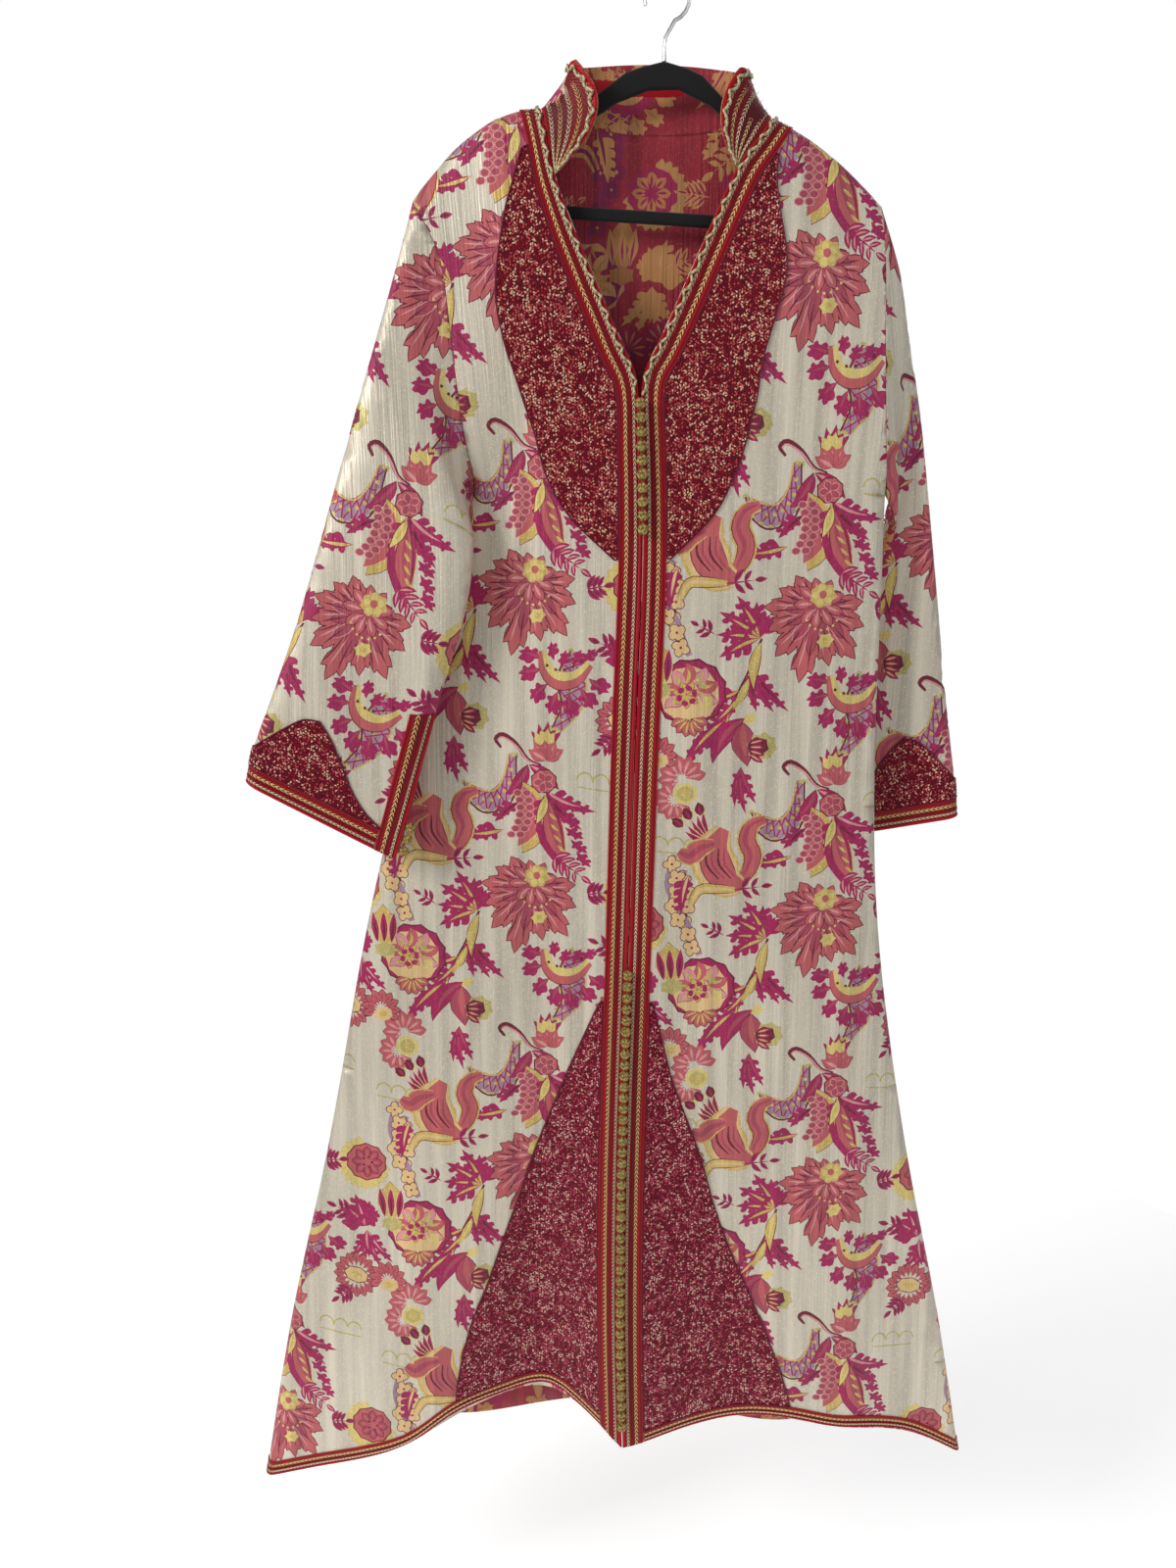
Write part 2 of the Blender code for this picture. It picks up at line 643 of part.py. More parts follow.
def strip(name, grid, rows, columns, thickness, finish):
    """A piece that lies on a panel, made from the panel's own points moved out."""
    points, normals = (array[rows, columns] for array in grid)
    return wall(name, pulled_in(points), normals, GAP, GAP + thickness, finish)


def ball(name, centre, diameter, finish):
    made = bmesh.new()
    bmesh.ops.create_uvsphere(made, u_segments=8, v_segments=5, radius=diameter / 2)
    bmesh.ops.translate(made, verts=made.verts, vec=centre)
    mesh = bpy.data.meshes.new(name)
    made.to_mesh(mesh)
    made.free()
    mesh.shade_smooth()
    return add(name, mesh, finish)


def strand(name, centres, diameter, cord, finish, sides=6):
    """Touching balls fused on a cord: rings that swell at each ball and narrow between them."""
    centres = np.array(centres)
    rings = []
    for i, centre in enumerate(centres):
        ahead = centres[min(i + 1, len(centres) - 1)] - centre
        behind = centre - centres[max(i - 1, 0)]
        if i == 0:
            behind = ahead
        if i == len(centres) - 1:
            ahead = behind
        rings.append((centre - behind / 2, cord / 2))
        rings += [(centre + step * 0.28, diameter * STRAND_SWELL) for step in (-behind, ahead)]
        if i == len(centres) - 1:
            rings.append((centre + ahead / 2, cord / 2))
    made = bmesh.new()
    loops = []
    for centre, radius in rings:
        angles = [2 * math.pi * (k + 0.5) / sides for k in range(sides)]
        loops.append([made.verts.new(centre + radius * np.array((math.cos(a), math.sin(a), 0))) for a in angles])
    for one, two in zip(loops, loops[1:]):
        for k in range(sides):
            made.faces.new((one[k], one[(k + 1) % sides], two[(k + 1) % sides], two[k]))
    made.faces.new(loops[0])
    made.faces.new(loops[-1])
    bmesh.ops.recalc_face_normals(made, faces=made.faces)
    mesh = bpy.data.meshes.new(name)
    made.to_mesh(mesh)
    made.free()
    return add(name, mesh, finish)


def on_front(z, lift):
    """A point in front of the closed front edges at a height: above the braid by lift."""
    samples = np.linspace(UNDERARM_ROW, HEM_ROW, 121)
    heights = [body("front_right_z", row) for row in samples]
    row = np.interp(-z, -np.array(heights), samples)
    right = np.array(body_point("right", "front", 0, row))
    left = np.array(body_point("left", "front", 0, row))
    middle = (right + left) / 2
    return middle + (0, -(GAP + BRAID + lift), 0)


def hanger_top(x):
    """The height of the hanger's top edge: its hump, or just under the shoulder seam."""
    side = "right" if x < 0 else "left"
    neck_x = BODY[f"front_{side}_x"][0]
    if abs(x) > abs(neck_x):
        return shoulder_height(side, x) - CLOTH - HANGER_CLEAR
    hump = np.array(HANGER_HUMP)
    ends = {end: BODY[f"front_{end}_x"][0] for end in ("right", "left")}
    feet = {end: shoulder_height(end, ends[end]) - CLOTH - HANGER_CLEAR for end in ends}
    across = [ends["right"], *hump[:, 0], ends["left"]]
    return np.interp(x, across, [feet["right"], *hump[:, 1], feet["left"]])


def bar_top(x):
    return mix(*BAR_HEIGHTS, (x - HANGER_ENDS[0]) / (HANGER_ENDS[1] - HANGER_ENDS[0]))


def hanger_outlines():
    """The hanger's outer outline and the outline of the gap between arms and bar."""
    low, high = HANGER_ENDS
    middle, reach = (low + high) / 2, (high - low) / 2
    steps = [math.sin(math.pi / 2 * i / 10) for i in range(-10, 11)]
    across = sorted([middle + reach * t for t in steps if abs(t) > 0.5] + [x for x, _ in HANGER_HUMP])
    outer = [(x, hanger_top(x)) for x in across]
    for end, inward in ((high, -1), (low, 1)):
        foot = bar_top(end) - BAR_DEPTH
        turn = []
        for a in (0, math.pi / 4, math.pi / 2):
            turn.append((end + inward * END_ROUND * (1 - math.cos(a)), foot + END_ROUND * (1 - math.sin(a))))
        outer += turn if inward < 0 else turn[::-1]
    inner_reach = reach - 0.022
    inner = []
    for t in steps:
        x = middle + inner_reach * t
        inner.append((x, max(hanger_top(x) - ARM_DEPTH * mix(1, 0.6, abs(t)), bar_top(x) + 0.003)))
    for x in (middle + inner_reach, middle - inner_reach):
        inner.append((x, bar_top(x)))
    return outer, inner


def hanger_body(finish):
    made = bmesh.new()
    edges = []
    for outline in hanger_outlines():
        verts = [made.verts.new((x, -HANGER_THICK / 2, z)) for x, z in outline]
        edges += [made.edges.new((a, b)) for a, b in zip(verts, verts[1:] + verts[:1])]
    bmesh.ops.triangle_fill(made, use_beauty=True, edges=edges)
    grown = bmesh.ops.extrude_face_region(made, geom=made.faces[:])
    moved = [item for item in grown["geom"] if isinstance(item, bmesh.types.BMVert)]
    bmesh.ops.translate(made, verts=moved, vec=(0, HANGER_THICK, 0))
    bmesh.ops.recalc_face_normals(made, faces=made.faces)
    mesh = bpy.data.meshes.new("hanger_body")
    made.to_mesh(mesh)
    made.free()
    piece = add("hanger_body", mesh, finish)
    bevel = piece.modifiers.new("rounded edge", "BEVEL")
    bevel.width = HANGER_EDGE
    bevel.segments = 1
    bevel.limit_method = "ANGLE"
    bevel.angle_limit = math.radians(60)


def hanger_hook(finish):
    """A wire hook: a stem from the hump, bent into an open ring whose inside top is the origin."""
    radius = HOOK_INSIDE + HOOK_WIRE / 2
    foot = hanger_top(HOOK_FOOT_X) + GAP
    path = [(HOOK_FOOT_X, foot), (HOOK_FOOT_X, foot + 0.012), (HOOK_FOOT_X + 0.001, foot + 0.020)]
    for angle in range(-70, 201, 18):
        a = math.radians(angle)
        path.append((radius * math.cos(a), -HOOK_INSIDE + radius * math.sin(a)))
    curve = bpy.data.curves.new("hanger_hook", "CURVE")
    curve.dimensions = "3D"
    line = curve.splines.new("POLY")
    line.points.add(len(path) - 1)
    for point, (x, z) in zip(line.points, path):
        point.co = (x, 0, z, 1)
    curve.bevel_depth = HOOK_WIRE / 2
    curve.bevel_resolution = 2
    curve.use_fill_caps = True
    curve.materials.append(finish)
    piece = bpy.data.objects.new("hanger_hook", curve)
    bpy.context.scene.collection.objects.link(piece)


def main():
    brocade = material("ivory brocade", (0.72, 0.66, 0.55), 0.45)
    sfifa = material("red and gold braid", (0.55, 0.03, 0.05), 0.55)
    glitter = material("glitter embroidery", (0.42, 0.06, 0.12), 0.5)
    silk = material("gold silk knots", (0.55, 0.48, 0.20), 0.4, 0.3)
    velvet = material("black velvet", (0.01, 0.01, 0.01), 0.9)
    metal = material("hook metal", (0.6, 0.6, 0.6), 0.3, 1.0)

    samples = body_samples()
    fronts = {side: front_grid(side, samples) for side in ("right", "left")}
    back = back_grid(samples)
    for side in ("right", "left"):
        wall(f"front_{side}", *fronts[side], -CLOTH, 0, brocade)
    wall("back", *back, -CLOTH, 0, brocade)

    whole = slice(None)
    hem = samples.index(round(hem_braid_row(), 4))
    for side in ("right", "left"):
        grid = fronts[side]
        field = slice(BRAID_PLACES, FIELD_PLACES + 1)
        chest = slice(samples.index(CHEST_GLITTER[0]), samples.index(CHEST_GLITTER[1]) + 1)
        skirt = slice(samples.index(SKIRT_GLITTER[0]), hem + 1)
        strip(f"braid_front_{side}", grid, whole, slice(0, BRAID_PLACES + 1), BRAID, sfifa)
        strip(f"braid_hem_front_{side}", grid, slice(hem, None), slice(BRAID_PLACES, None), BRAID, sfifa)
        strip(f"panel_chest_{side}", grid, chest, field, GLITTER, glitter)
        strip(f"panel_skirt_{side}", grid, skirt, field, GLITTER, glitter)
    strip("braid_hem_back", back, slice(hem, None), whole, BRAID, sfifa)

    collar = collar_grid(samples, fronts, back)
    wall("collar", *collar, -CLOTH, 0, brocade)
    strip("braid_collar", collar, slice(1, None), whole, BRAID, sfifa)

    for side in ("right", "left"):
        grid = sleeve_grid(side, fronts[side], back, samples)
        wall(f"sleeve_{side}", *grid, -CLOTH, 0, brocade)
        slit = SLEEVE_SAMPLES.index(SLIT_ROW)
        last = len(grid[0]) - 1
        columns = grid[0].shape[1]
        top = len(CUFF_PLACES)
        lips = {"front": slice(0, SLIT_BRAID_PLACES + 1), "back": slice(columns - 1 - SLIT_BRAID_PLACES, None)}
        for face, lip in lips.items():
            strip(f"braid_slit_{face}_{side}", grid, slice(slit, None), lip, BRAID, sfifa)
        cuff = slice(SLIT_BRAID_PLACES, columns - SLIT_BRAID_PLACES)
        strip(f"braid_cuff_{side}", grid, slice(last - 1, None), cuff, BRAID, sfifa)
        strip(f"panel_cuff_{side}", grid, slice(last - 3, last), slice(SLIT_BRAID_PLACES, top), GLITTER, glitter)
        for i in range(CUFF_BUTTONS):
            row = cuff_row(side, 0, CUFF_BUTTON * (1 + 1.08 * i))
            lip = np.array(sleeve_point(side, "front", 0, row))
            away = lip - np.array(sleeve_point(side, "front", 0.5, row))
            away[1] = 0
            centre = lip + away / np.linalg.norm(away) * (CUFF_BUTTON / 2 + GAP) + (0, CLOTH / 2, 0)
            ball(f"button_cuff_{side}_{i + 1}", centre, CUFF_BUTTON, silk)

    for i, z in enumerate(np.linspace(CHEST_BUTTON_TOP, CHEST_BUTTON_END, CHEST_BUTTONS)):
        ball(f"button_chest_{i + 1:02d}", on_front(z, CHEST_BUTTON / 2 + GAP), CHEST_BUTTON, silk)
    heights = np.linspace(SKIRT_BUTTON_TOP, SKIRT_BUTTON_END, SKIRT_BUTTONS)
    centres = [on_front(z, SKIRT_BUTTON * STRAND_SWELL + GAP) for z in heights]
    strand("buttons_skirt", centres, SKIRT_BUTTON, BUTTON_CORD, silk)

    hanger_body(velvet)
    hanger_hook(metal)


main()
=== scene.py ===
# %% [markdown]
# # A Moroccan kaftan on its hanger
# This lesson dresses a plain CAD model of a long brocade kaftan. The CAD solids are plain walls
# of the right size; here they become woven cloth with flowers, braid, beads and knotted buttons.
# Each step first says what the piece is on the real garment, then how it can be made.

import math
import random

import bmesh
import bpy
import numpy as np
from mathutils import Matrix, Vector, noise
from mathutils.bvhtree import BVHTree
from mathutils.geometry import barycentric_transform, delaunay_2d_cdt


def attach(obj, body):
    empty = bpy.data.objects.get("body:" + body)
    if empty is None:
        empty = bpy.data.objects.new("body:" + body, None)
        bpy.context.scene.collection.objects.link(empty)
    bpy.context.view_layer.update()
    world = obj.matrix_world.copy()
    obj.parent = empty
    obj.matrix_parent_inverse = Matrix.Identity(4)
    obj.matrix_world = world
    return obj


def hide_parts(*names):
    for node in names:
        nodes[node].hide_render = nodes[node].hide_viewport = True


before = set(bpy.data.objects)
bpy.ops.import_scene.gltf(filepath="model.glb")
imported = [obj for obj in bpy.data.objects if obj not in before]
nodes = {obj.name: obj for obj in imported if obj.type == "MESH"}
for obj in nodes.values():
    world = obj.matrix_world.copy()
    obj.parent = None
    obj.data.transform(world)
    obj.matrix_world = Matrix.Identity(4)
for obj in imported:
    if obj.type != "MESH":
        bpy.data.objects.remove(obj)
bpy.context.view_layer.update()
print("CAD nodes:", len(nodes))

# %% [markdown]
# ## Camera, light and floor
# The photograph was taken from a little above the garment's middle, pitched down, with a wide
# phone lens. The camera repeats that place and lens, so proportions read the same as there.
# A pale floor lies under the hanging garment, and large soft lamps stand in for a bright room.

# %% Camera
CAMERA_PLACE = (-0.0729, -1.22, -0.4703)
CAMERA_PITCH = math.radians(13.5)
PICTURE_HIGH = 36.0

lens = bpy.data.cameras.new("camera")
lens.sensor_fit = "VERTICAL"
lens.sensor_height = PICTURE_HIGH
lens.lens = 27.0
camera = bpy.data.objects.new("camera", lens)
camera.location = CAMERA_PLACE
camera.rotation_euler = (math.pi / 2 - CAMERA_PITCH, 0, 0)
bpy.context.scene.collection.objects.link(camera)
bpy.context.scene.camera = camera
print("camera pitched down", round(math.degrees(CAMERA_PITCH), 1), "degrees")


# %% [markdown]
# A large soft lamp stands for the window at the left, a weaker one for the room, and one behind
# keeps the back readable. The world lights evenly, and the camera sees it white, like the cut-out.

# %% Lamps, world and floor
def lamp(name, place, aim, size, power, colour=(1, 1, 1)):
    light = bpy.data.lights.new(name, "AREA")
    light.size = size
    light.energy = power
    light.color = colour
    holder = bpy.data.objects.new(name, light)
    holder.location = place
    holder.rotation_euler = (Vector(aim) - Vector(place)).to_track_quat("-Z", "Y").to_euler()
    bpy.context.scene.collection.objects.link(holder)


CHEST = (0, 0, -0.6)
lamp("window", (-2.6, -1.7, 0.9), CHEST, 1.2, 66, (1.0, 0.985, 0.96))
lamp("room", (2.4, -2.4, 0.2), CHEST, 2.4, 14, (0.94, 0.97, 1.0))
lamp("behind", (1.2, 2.6, 0.6), CHEST, 2.4, 40)

world = bpy.data.worlds.new("pale room")
world.use_nodes = True
sky = world.node_tree
backdrop = sky.nodes.new("ShaderNodeBackground")
backdrop.inputs["Color"].default_value = (1, 1, 1, 1)
sky.nodes["Background"].inputs["Color"].default_value = (0.93, 0.94, 0.95, 1)
sky.nodes["Background"].inputs["Strength"].default_value = 0.4
seen = sky.nodes.new("ShaderNodeMixShader")
sky.links.new(sky.nodes.new("ShaderNodeLightPath").outputs["Is Camera Ray"], seen.inputs[0])
sky.links.new(sky.nodes["Background"].outputs[0], seen.inputs[1])
sky.links.new(backdrop.outputs[0], seen.inputs[2])
sky.links.new(seen.outputs[0], sky.nodes["World Output"].inputs["Surface"])
bpy.context.scene.world = world
bpy.context.scene.view_settings.view_transform = "Standard"

FLOOR_BELOW = -1.86


def alone():
    """Leaves object mode with nothing selected, because an operator acts on all that is."""
    if bpy.context.object and bpy.context.object.mode != "OBJECT":
        bpy.ops.object.mode_set(mode="OBJECT")
    bpy.ops.object.select_all(action="DESELECT")


alone()
bpy.ops.mesh.primitive_circle_add(
    vertices=128, radius=1.4, fill_type="NGON", location=(0, 0, FLOOR_BELOW)
)
floor = bpy.context.object
floor.name = "floor"
print("floor at", FLOOR_BELOW, "m")

# %% [markdown]
# ## Shader groups
# Cloth, braid and beads share effects. Each is a node group, built once: one makes the fine
# vertical crinkle of a lurex brocade, whose broad creases also paint shade into the dye; one the
# slanted twist of silk thread, whose ridges also paint shade on the thread; one the scattered
# points of painted light that metal thread gives.


# %% A small helper for building node trees
def group(name, inputs, outputs):
    made = bpy.data.node_groups.new(name, "ShaderNodeTree")
    for label, kind, value in inputs:
        socket = made.interface.new_socket(label, in_out="INPUT", socket_type=kind)
        if value is not None:
            socket.default_value = value
    for label, kind in outputs:
        made.interface.new_socket(label, in_out="OUTPUT", socket_type=kind)
    return made, made.nodes.new("NodeGroupInput"), made.nodes.new("NodeGroupOutput")


def node(tree, kind, values=(), **settings):
    """Adds a node, sets its settings, and sets or links its inputs by number or name."""
    made = tree.nodes.new(kind)
    for name, value in settings.items():
        setattr(made, name, value)
    for key, value in dict(values).items():
        if isinstance(value, bpy.types.NodeSocket):
            tree.links.new(value, made.inputs[key])
        else:
            made.inputs[key].default_value = value
    return made


def maths(tree, operation, *values):
    return node(tree, "ShaderNodeMath", enumerate(values), operation=operation).outputs[0]


FLOAT, VECTOR = "NodeSocketFloat", "NodeSocketVector"


def crinkle_group():
    """Fine upright creases: noise that changes fast across the cloth and slowly along it. The broad noise
    alone also goes out to paint shade and light into the dye along the creases.
    """
    made, given, out = group(
        "crinkle",
        [("Place", VECTOR, None), ("Across", FLOAT, 420.0), ("Along", FLOAT, 9.0)],
        [("Height", FLOAT), ("Painted_Shade", FLOAT)],
    )
    stretch = node(made, "ShaderNodeCombineXYZ", {0: given.outputs[1], 1: given.outputs[2], 2: 1.0})
    place = node(
        made, "ShaderNodeVectorMath", {0: given.outputs[0], 1: stretch.outputs[0]},
        operation="MULTIPLY"
    )
    fine = node(
        made, "ShaderNodeTexNoise", {"Vector": place.outputs[0], "Scale": 1.0, "Detail": 2.0}
    )
    half = node(
        made, "ShaderNodeVectorMath", {0: place.outputs[0], 1: (0.17, 0.4, 1)}, operation="MULTIPLY"
    )
    broad = node(
        made, "ShaderNodeTexNoise", {"Vector": half.outputs[0], "Scale": 1.0, "Detail": 3.0}
    )
    height = maths(
        made, "ADD", fine.outputs["Fac"], maths(made, "MULTIPLY", broad.outputs["Fac"], 1.6)
    )
    made.links.new(height, out.inputs["Height"])
    # Painted shade: the broad creases alone go out to darken and lighten the dye.
    made.links.new(broad.outputs["Fac"], out.inputs["Painted_Shade"])
    return made


def glint_group():
    """Scattered points of light, as metal thread shows where a turn of it faces the lamp."""
    made, given, out = group(
        "glint", [
            ("Place", VECTOR, None), ("Fineness", FLOAT, 900.0), ("Share", FLOAT, 0.2)
        ], [("Mask", FLOAT)]
    )
    cells = node(
        made, "ShaderNodeTexVoronoi", {"Vector": given.outputs[0], "Scale": given.outputs[1]}
    )
    bright = node(made, "ShaderNodeSeparateColor", {0: cells.outputs["Color"]})
    lit = maths(made, "LESS_THAN", bright.outputs[0], given.outputs[2])
    made.links.new(lit, out.inputs["Mask"])
    return made


def twist_group():
    """Slanted ridges, as the plies of a twisted silk cord."""
    made, given, out = group(
        "twist", [("Place", VECTOR, None), ("Turns", FLOAT, 600.0)], [("Height", FLOAT)]
    )
    place = node(made, "ShaderNodeSeparateXYZ", {0: given.outputs[0]})
    slant = maths(
        made, "ADD", place.outputs[0], maths(made, "ADD", place.outputs[1], place.outputs[2])
    )
    wave = maths(made, "SINE", maths(made, "MULTIPLY", slant, given.outputs[1]))
    made.links.new(wave, out.inputs["Height"])
    return made


CRINKLE, GLINT, TWIST = crinkle_group(), glint_group(), twist_group()
print("shader groups:", CRINKLE.name, GLINT.name, TWIST.name)


# %% [markdown]
# Each finish starts as one Principled shader. What is the same all over is set on its own socket,
# and only what varies, such as a weave or a dye, comes in through nodes.

# %% Helpers for materials
def linear(rgb):
    """A colour as seen on a screen, 0 to 255, made linear for the shader."""
    parts = [value / 255 for value in rgb]
    return tuple(p / 12.92 if p <= 0.04045 else ((p + 0.055) / 1.055) ** 2.4 for p in parts)


def material(name, colour=(200, 200, 200), roughness=0.5, metallic=0.0, **sockets):
    made = bpy.data.materials.new(name)
    made.use_nodes = True
    shader = made.node_tree.nodes["Principled BSDF"]
    shader.inputs["Base Color"].default_value = (*linear(colour), 1)
    shader.inputs["Roughness"].default_value = roughness
    shader.inputs["Metallic"].default_value = metallic
    for label, value in sockets.items():
        shader.inputs[label.replace("_", " ")].default_value = value
    return made, made.node_tree, shader


def placed(tree, which, **values):
    """Puts a shader group in a material."""
    made = tree.nodes.new("ShaderNodeGroup")
    made.node_tree = which
    for label, value in values.items():
        if isinstance(value, bpy.types.NodeSocket):
            tree.links.new(value, made.inputs[label])
        else:
            made.inputs[label].default_value = value
    return made


def bumped(tree, shader, height, distance, strength=1.0):
    bump = node(
        tree, "ShaderNodeBump", {"Height": height, "Distance": distance, "Strength": strength}
    )
    tree.links.new(bump.outputs[0], shader.inputs["Normal"])


def mixed(tree, share, one, two):
    made = node(tree, "ShaderNodeMix", data_type="RGBA")
    for key, value in ((0, share), (6, one), (7, two)):
        if isinstance(value, bpy.types.NodeSocket):
            tree.links.new(value, made.inputs[key])
        elif key == 0:
            made.inputs[key].default_value = value
        else:
            made.inputs[key].default_value = (*linear(value), 1)
    return made.outputs[2]


def attribute(tree, name):
    return node(tree, "ShaderNodeAttribute", attribute_name=name)


floor_finish, tree, shader = material(
    "pale floor", (250, 250, 250), 0.8, Emission_Color=(1, 1, 1, 1), Emission_Strength=0.3
)
object_place = node(tree, "ShaderNodeTexCoord").outputs["Object"]
grain = node(tree, "ShaderNodeTexNoise", {"Vector": object_place, "Scale": 40.0})
bumped(tree, shader, grain.outputs["Fac"], 0.0003, 0.3)
floor.data.materials.append(floor_finish)


# %% [markdown]
# ## The brocade's finish
# The face of the cloth is ivory lurex with coloured flowers; its reverse shows the floating
# weft threads, crimson with ochre. Colours come with the mesh as attributes, thread by thread,
# because every flower is cut into the mesh. The shader only adds the crinkle, whose broad creases
# it also paints into the colour as shade and light, and a painted sparkle of metal thread.

# %% Brocade, face and reverse
def brocade(name, dye, dull, glitter):
    made, tree, shader = material(
        name, roughness=0.42 + dull, Sheen_Weight=0.12, Sheen_Roughness=0.4
    )
    place = node(tree, "ShaderNodeUVMap", uv_map="flat").outputs[0]
    colour = attribute(tree, dye).outputs["Color"]
    metal = attribute(tree, "lurex").outputs["Fac"]
    crease = placed(tree, CRINKLE, Place=place)
    # Painted shade and light: the broad crease noise darkens and lightens the dye along the folds.
    shade = node(
        tree, "ShaderNodeMapRange", {0: crease.outputs["Painted_Shade"], 1: 0.35, 2: 0.68, 3: 0.78, 4: 1.10}
    )
    dye_with_painted_shade = node(
        tree, "ShaderNodeMix", {0: 1.0, 6: colour}, data_type="RGBA", blend_type="MULTIPLY"
    )
    tree.links.new(shade.outputs[0], dye_with_painted_shade.inputs[7])
    # Painted glint: where there is metal thread, scattered spots of the colour turn pale gold as if lit;
    # glitter scales them.
    glint = placed(tree, GLINT, Place=place, Fineness=820.0, Share=0.14)
    lit = maths(tree, "MULTIPLY", maths(tree, "MULTIPLY", glint.outputs[0], metal), glitter)
    tree.links.new(mixed(tree, lit, dye_with_painted_shade.outputs[2], (255, 240, 190)), shader.inputs["Base Color"])
    tree.links.new(maths(tree, "MULTIPLY", metal, 0.55), shader.inputs["Metallic"])
    rough = node(
        tree, "ShaderNodeMapRange", {0: metal, 1: 0.0, 2: 1.0, 3: 0.55 + dull, 4: 0.33 + dull}
    )
    tree.links.new(rough.outputs[0], shader.inputs["Roughness"])
    bumped(tree, shader, crease.outputs["Height"], 0.0011, 0.9)
    return made


# The last number sets how strong the painted glint is: strong on the face, faint on the reverse.
FACE = brocade("ivory brocade", "dye", 0.0, 0.9)
REVERSE = brocade("brocade reverse", "reverse", 0.2, 0.1)
print("brocade:", FACE.name, "and", REVERSE.name)


# %% [markdown]
# ## Cloth from the CAD walls
# A CAD wall is a closed solid made of flat facets. The cloth only needs its outer face: one facet
# is picked, and the selection spreads over its neighbours until it meets the rim, whose facets
# all have an edge as short as the wall is thick. The rest is deleted, and subdivision rounds
# the facets. Then the piece is unwrapped flat, as if its seams were unpicked, so that a pattern
# can be drawn on it in true metres.

# %% Cut the outer face from a CAD wall
WALL = 0.0015
FRONT, BEHIND = Vector((0, -1, 0)), Vector((0, 1, 0))
SHARP = math.radians(80)


def spread(seed, sharp, wall):
    """Every face reached from the seed without crossing the rim or a sharp corner."""
    reached, waiting = {seed}, [seed]
    while waiting:
        for edge in waiting.pop().edges:
            if len(edge.link_faces) < 2 or edge.calc_face_angle(0) > sharp:
                continue
            for face in edge.link_faces:
                thin = any(abs(side.calc_length() - wall) < 0.00003 for side in face.edges)
                if face not in reached and not thin:
                    reached.add(face)
                    waiting.append(face)
    return reached


def outer_face(name, source, toward, wall=WALL):
    """A copy of a CAD wall, left with the face that looks outward."""
    alone()
    piece = bpy.data.objects.new(name, nodes[source].data.copy())
    piece.data.materials.clear()
    bpy.context.scene.collection.objects.link(piece)
    piece.select_set(True)
    bpy.context.view_layer.objects.active = piece
    bpy.ops.object.mode_set(mode="EDIT")
    bpy.ops.mesh.select_mode(type="FACE")
    bpy.ops.mesh.select_all(action="SELECT")
    bpy.ops.mesh.remove_doubles(threshold=0.00002)
    bpy.ops.mesh.select_all(action="DESELECT")
    made = bmesh.from_edit_mesh(piece.data)
    made.normal_update()
    facing = [face for face in made.faces if face.normal.dot(toward) > 0.6]
    seed = max(facing, key=lambda face: face.calc_center_median().dot(toward))
    for face in spread(seed, SHARP, wall):
        face.select_set(True)
    bmesh.update_edit_mesh(piece.data)
    bpy.ops.mesh.select_all(action="INVERT")
    bpy.ops.mesh.delete(type="FACE")
    bpy.ops.mesh.select_all(action="SELECT")
    bpy.ops.mesh.tris_convert_to_quads(
        face_threshold=math.radians(50), shape_threshold=math.radians(120)
    )
    bpy.ops.object.mode_set(mode="OBJECT")
    return piece


def border_of(mesh):
    """The vertices round the open edge of a mesh, in order; the longest ring if it has holes."""
    made = bmesh.new()
    made.from_mesh(mesh)
    after = {}
    for edge in made.edges:
        if edge.is_boundary:
            loop = edge.link_loops[0]
            after[loop.vert.index] = loop.link_loop_next.vert.index
    made.free()
    rings = []
    while after:
        here = min(after)
        ring = []
        while here in after:
            ring.append(here)
            here = after.pop(here)
        rings.append(ring)
    return max(rings, key=len)


def rounded_off(piece, levels):
    """Subdivides, holding the open edge exactly where the CAD has it."""
    made = bmesh.new()
    made.from_mesh(piece.data)
    crease = made.edges.layers.float.new("crease_edge")
    for edge in made.edges:
        edge[crease] = 1.0 if edge.is_boundary else 0.0
    made.to_mesh(piece.data)
    made.free()
    modifier = piece.modifiers.new("rounder", "SUBSURF")
    modifier.levels = modifier.render_levels = levels
    alone()
    bpy.context.view_layer.objects.active = piece
    piece.select_set(True)
    bpy.ops.object.modifier_apply(modifier=modifier.name)


# %% [markdown]
# A tailor cuts these pieces from flat cloth. To know how the pattern lies on each, the folded
# outer face is unwrapped to real size in metres, and a place on it can be found again when hung.

# %% Lay a piece flat
def unwrapped(piece, toward):
    """Flat places of every vertex, in metres, turned to lie as the piece hangs."""
    alone()
    bpy.context.view_layer.objects.active = piece
    piece.select_set(True)
    while piece.data.uv_layers:
        piece.data.uv_layers.remove(piece.data.uv_layers[0])
    piece.data.uv_layers.new(name="flat")
    bpy.ops.object.mode_set(mode="EDIT")
    bpy.ops.mesh.select_all(action="SELECT")
    bpy.ops.uv.unwrap(method="ANGLE_BASED", margin=0)
    bpy.ops.object.mode_set(mode="OBJECT")
    mesh = piece.data
    places = np.zeros(len(mesh.vertices), complex)
    for loop, uv in zip(mesh.loops, mesh.uv_layers["flat"].uv):
        places[loop.vertex_index] = complex(*uv.vector)
    points = np.array([vertex.co for vertex in mesh.vertices])
    real = sum(face.area for face in mesh.polygons)
    flat = 0
    for face in mesh.polygons:
        ring = places[list(face.vertices)]
        flat += 0.5 * (np.conj(ring) * np.roll(ring, -1)).imag.sum()
    across = 1 if toward.y < 0 else -1
    target = across * points[:, 0] + 1j * points[:, 2]
    facing = np.array([vertex.normal.dot(toward) > 0.5 for vertex in mesh.vertices])
    a, b = places[facing], target[facing]
    turn = (np.conj(a - a.mean()) * (b - b.mean())).sum()
    turn *= math.sqrt(real / abs(flat)) / abs(turn)
    return (places - a.mean()) * turn + b.mean()


